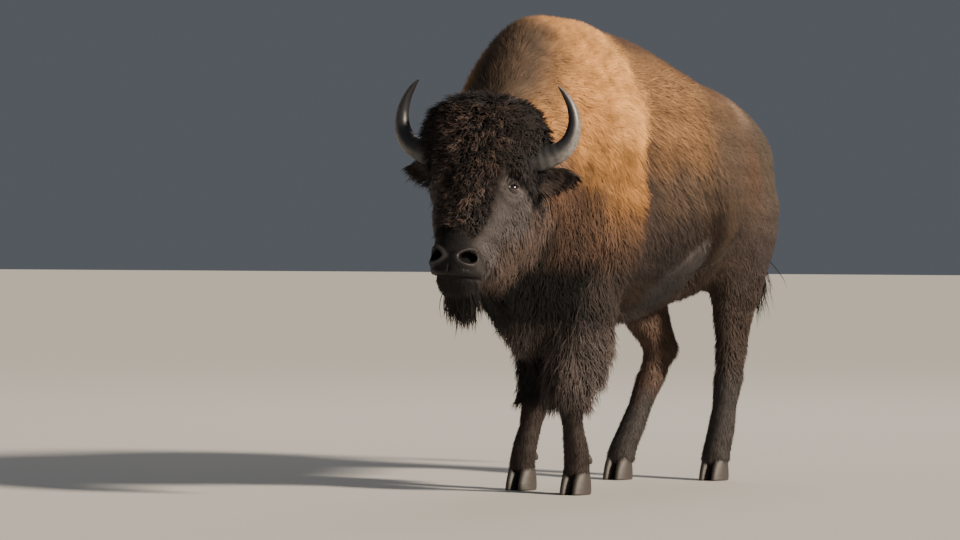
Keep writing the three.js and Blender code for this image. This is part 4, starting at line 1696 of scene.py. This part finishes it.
# name, kind, degrees round from the front, degrees up, distance, span, power, colour
LIGHTS = (
    ("key", "SUN", 84, 25, 9.0, 0.12, 6.9, (1.0, 0.86, 0.68)),
    ("fill", "AREA", 50, 22, 10.0, 6.0, 62, (0.92, 0.95, 1.0)),
    ("rim", "AREA", 200, 45, 10.0, 5.0, 180, (1.0, 0.94, 0.88)),
)
WORLD_COLOUR, WORLD_STRENGTH = (0.72, 0.79, 0.90), 0.13


class BISON_OT_stage(bpy.types.Operator):
    """Lays the pale floor and sets the soft studio lights and the camera"""

    bl_idname = "bison.stage"
    bl_label = "Stage"

    def execute(self, context):
        settings = context.scene.bison_stage
        material, tree, shader = new_material("floor")
        feed(tree, shader, {"Base Color": tuple(settings.floor), "Roughness": 0.9})
        half = 60.0
        corners = np.array([(-half, -half, 0), (half, -half, 0), (half, half, 0), (-half, half, 0)])
        floor = build("floor", corners, [np.array([[0, 1, 2, 3]])], material)

        azimuth = settings.azimuth
        ahead = np.array((-math.sin(azimuth), math.cos(azimuth), 0))
        right = np.array((math.cos(azimuth), math.sin(azimuth), 0))
        place = BODY_AT - HUMP_AHEAD * BACK - settings.distance * ahead
        place[2] = settings.height
        aim = ahead - AIM_LEFT * right - AIM_DOWN * UP
        data = bpy.data.cameras.new("camera")
        data.lens = settings.lens
        data.sensor_width = 36
        data.clip_end = 200
        camera = bpy.data.objects.new("camera", data)
        camera.location = place
        camera.rotation_euler = Vector(aim).to_track_quat("-Z", "Y").to_euler()
        context.scene.collection.objects.link(camera)
        context.scene.camera = camera

        for name, kind, turn, rise, distance, span, power, tint in LIGHTS:
            lamp = bpy.data.lights.new(name, kind)
            if kind == "SUN":
                lamp.angle = span
            else:
                lamp.shape = "DISK"
                lamp.size = span
            lamp.energy = power
            lamp.color = tint
            a, e = math.radians(turn), math.radians(rise)
            towards = np.array((math.sin(a) * math.cos(e), -math.cos(a) * math.cos(e), math.sin(e)))
            light = bpy.data.objects.new(name, lamp)
            light.location = np.array((0, 0, 0.9)) + distance * towards
            light.rotation_euler = Vector(-towards).to_track_quat("-Z", "Y").to_euler()
            context.scene.collection.objects.link(light)
        world = bpy.data.worlds.new("studio")
        context.scene.world = world
        world.use_nodes = True
        tree = world.node_tree
        feed(tree, tree.nodes["Background"], {"Color": WORLD_COLOUR, "Strength": WORLD_STRENGTH})
        return {"FINISHED"}


class BISON_PT_panel(bpy.types.Panel):
    """Lists the bison's pieces in the 3D view's sidebar."""

    bl_idname = "BISON_PT_panel"
    bl_label = "American bison"
    bl_space_type = "VIEW_3D"
    bl_region_type = "UI"
    bl_category = "Bison"

    def draw(self, context):
        scene = context.scene
        for group in (scene.bison_coat, scene.bison_horn, scene.bison_stage):
            box = self.layout.box()
            for prop in group.bl_rna.properties:
                if prop.identifier not in ("rna_type", "name"):
                    box.prop(group, prop.identifier)
        for operator in OPERATORS:
            self.layout.operator(operator.bl_idname)


OPERATORS = (
    BISON_OT_skin,
    BISON_OT_cape,
    BISON_OT_hindquarters,
    BISON_OT_mane,
    BISON_OT_forelegs,
    BISON_OT_shanks,
    BISON_OT_bonnet,
    BISON_OT_face,
    BISON_OT_beard,
    BISON_OT_horns,
    BISON_OT_ears,
    BISON_OT_eyes,
    BISON_OT_hooves,
    BISON_OT_tail_tuft,
    BISON_OT_stage,
)
SETTINGS = (("bison_coat", BisonCoat), ("bison_horn", BisonHorn), ("bison_stage", BisonStage))
CLASSES = tuple(group for _, group in SETTINGS) + OPERATORS + (BISON_PT_panel,)


def register():
    for item in CLASSES:
        bpy.utils.register_class(item)
    for name, group in SETTINGS:
        setattr(bpy.types.Scene, name, PointerProperty(type=group))


def unregister():
    for name, _ in SETTINGS:
        delattr(bpy.types.Scene, name)
    for item in reversed(CLASSES):
        bpy.utils.unregister_class(item)


def main():
    register()
    for operator in OPERATORS:
        group, call = operator.bl_idname.split(".")
        getattr(getattr(bpy.ops, group), call)()


if __name__ == "__main__":
    main()
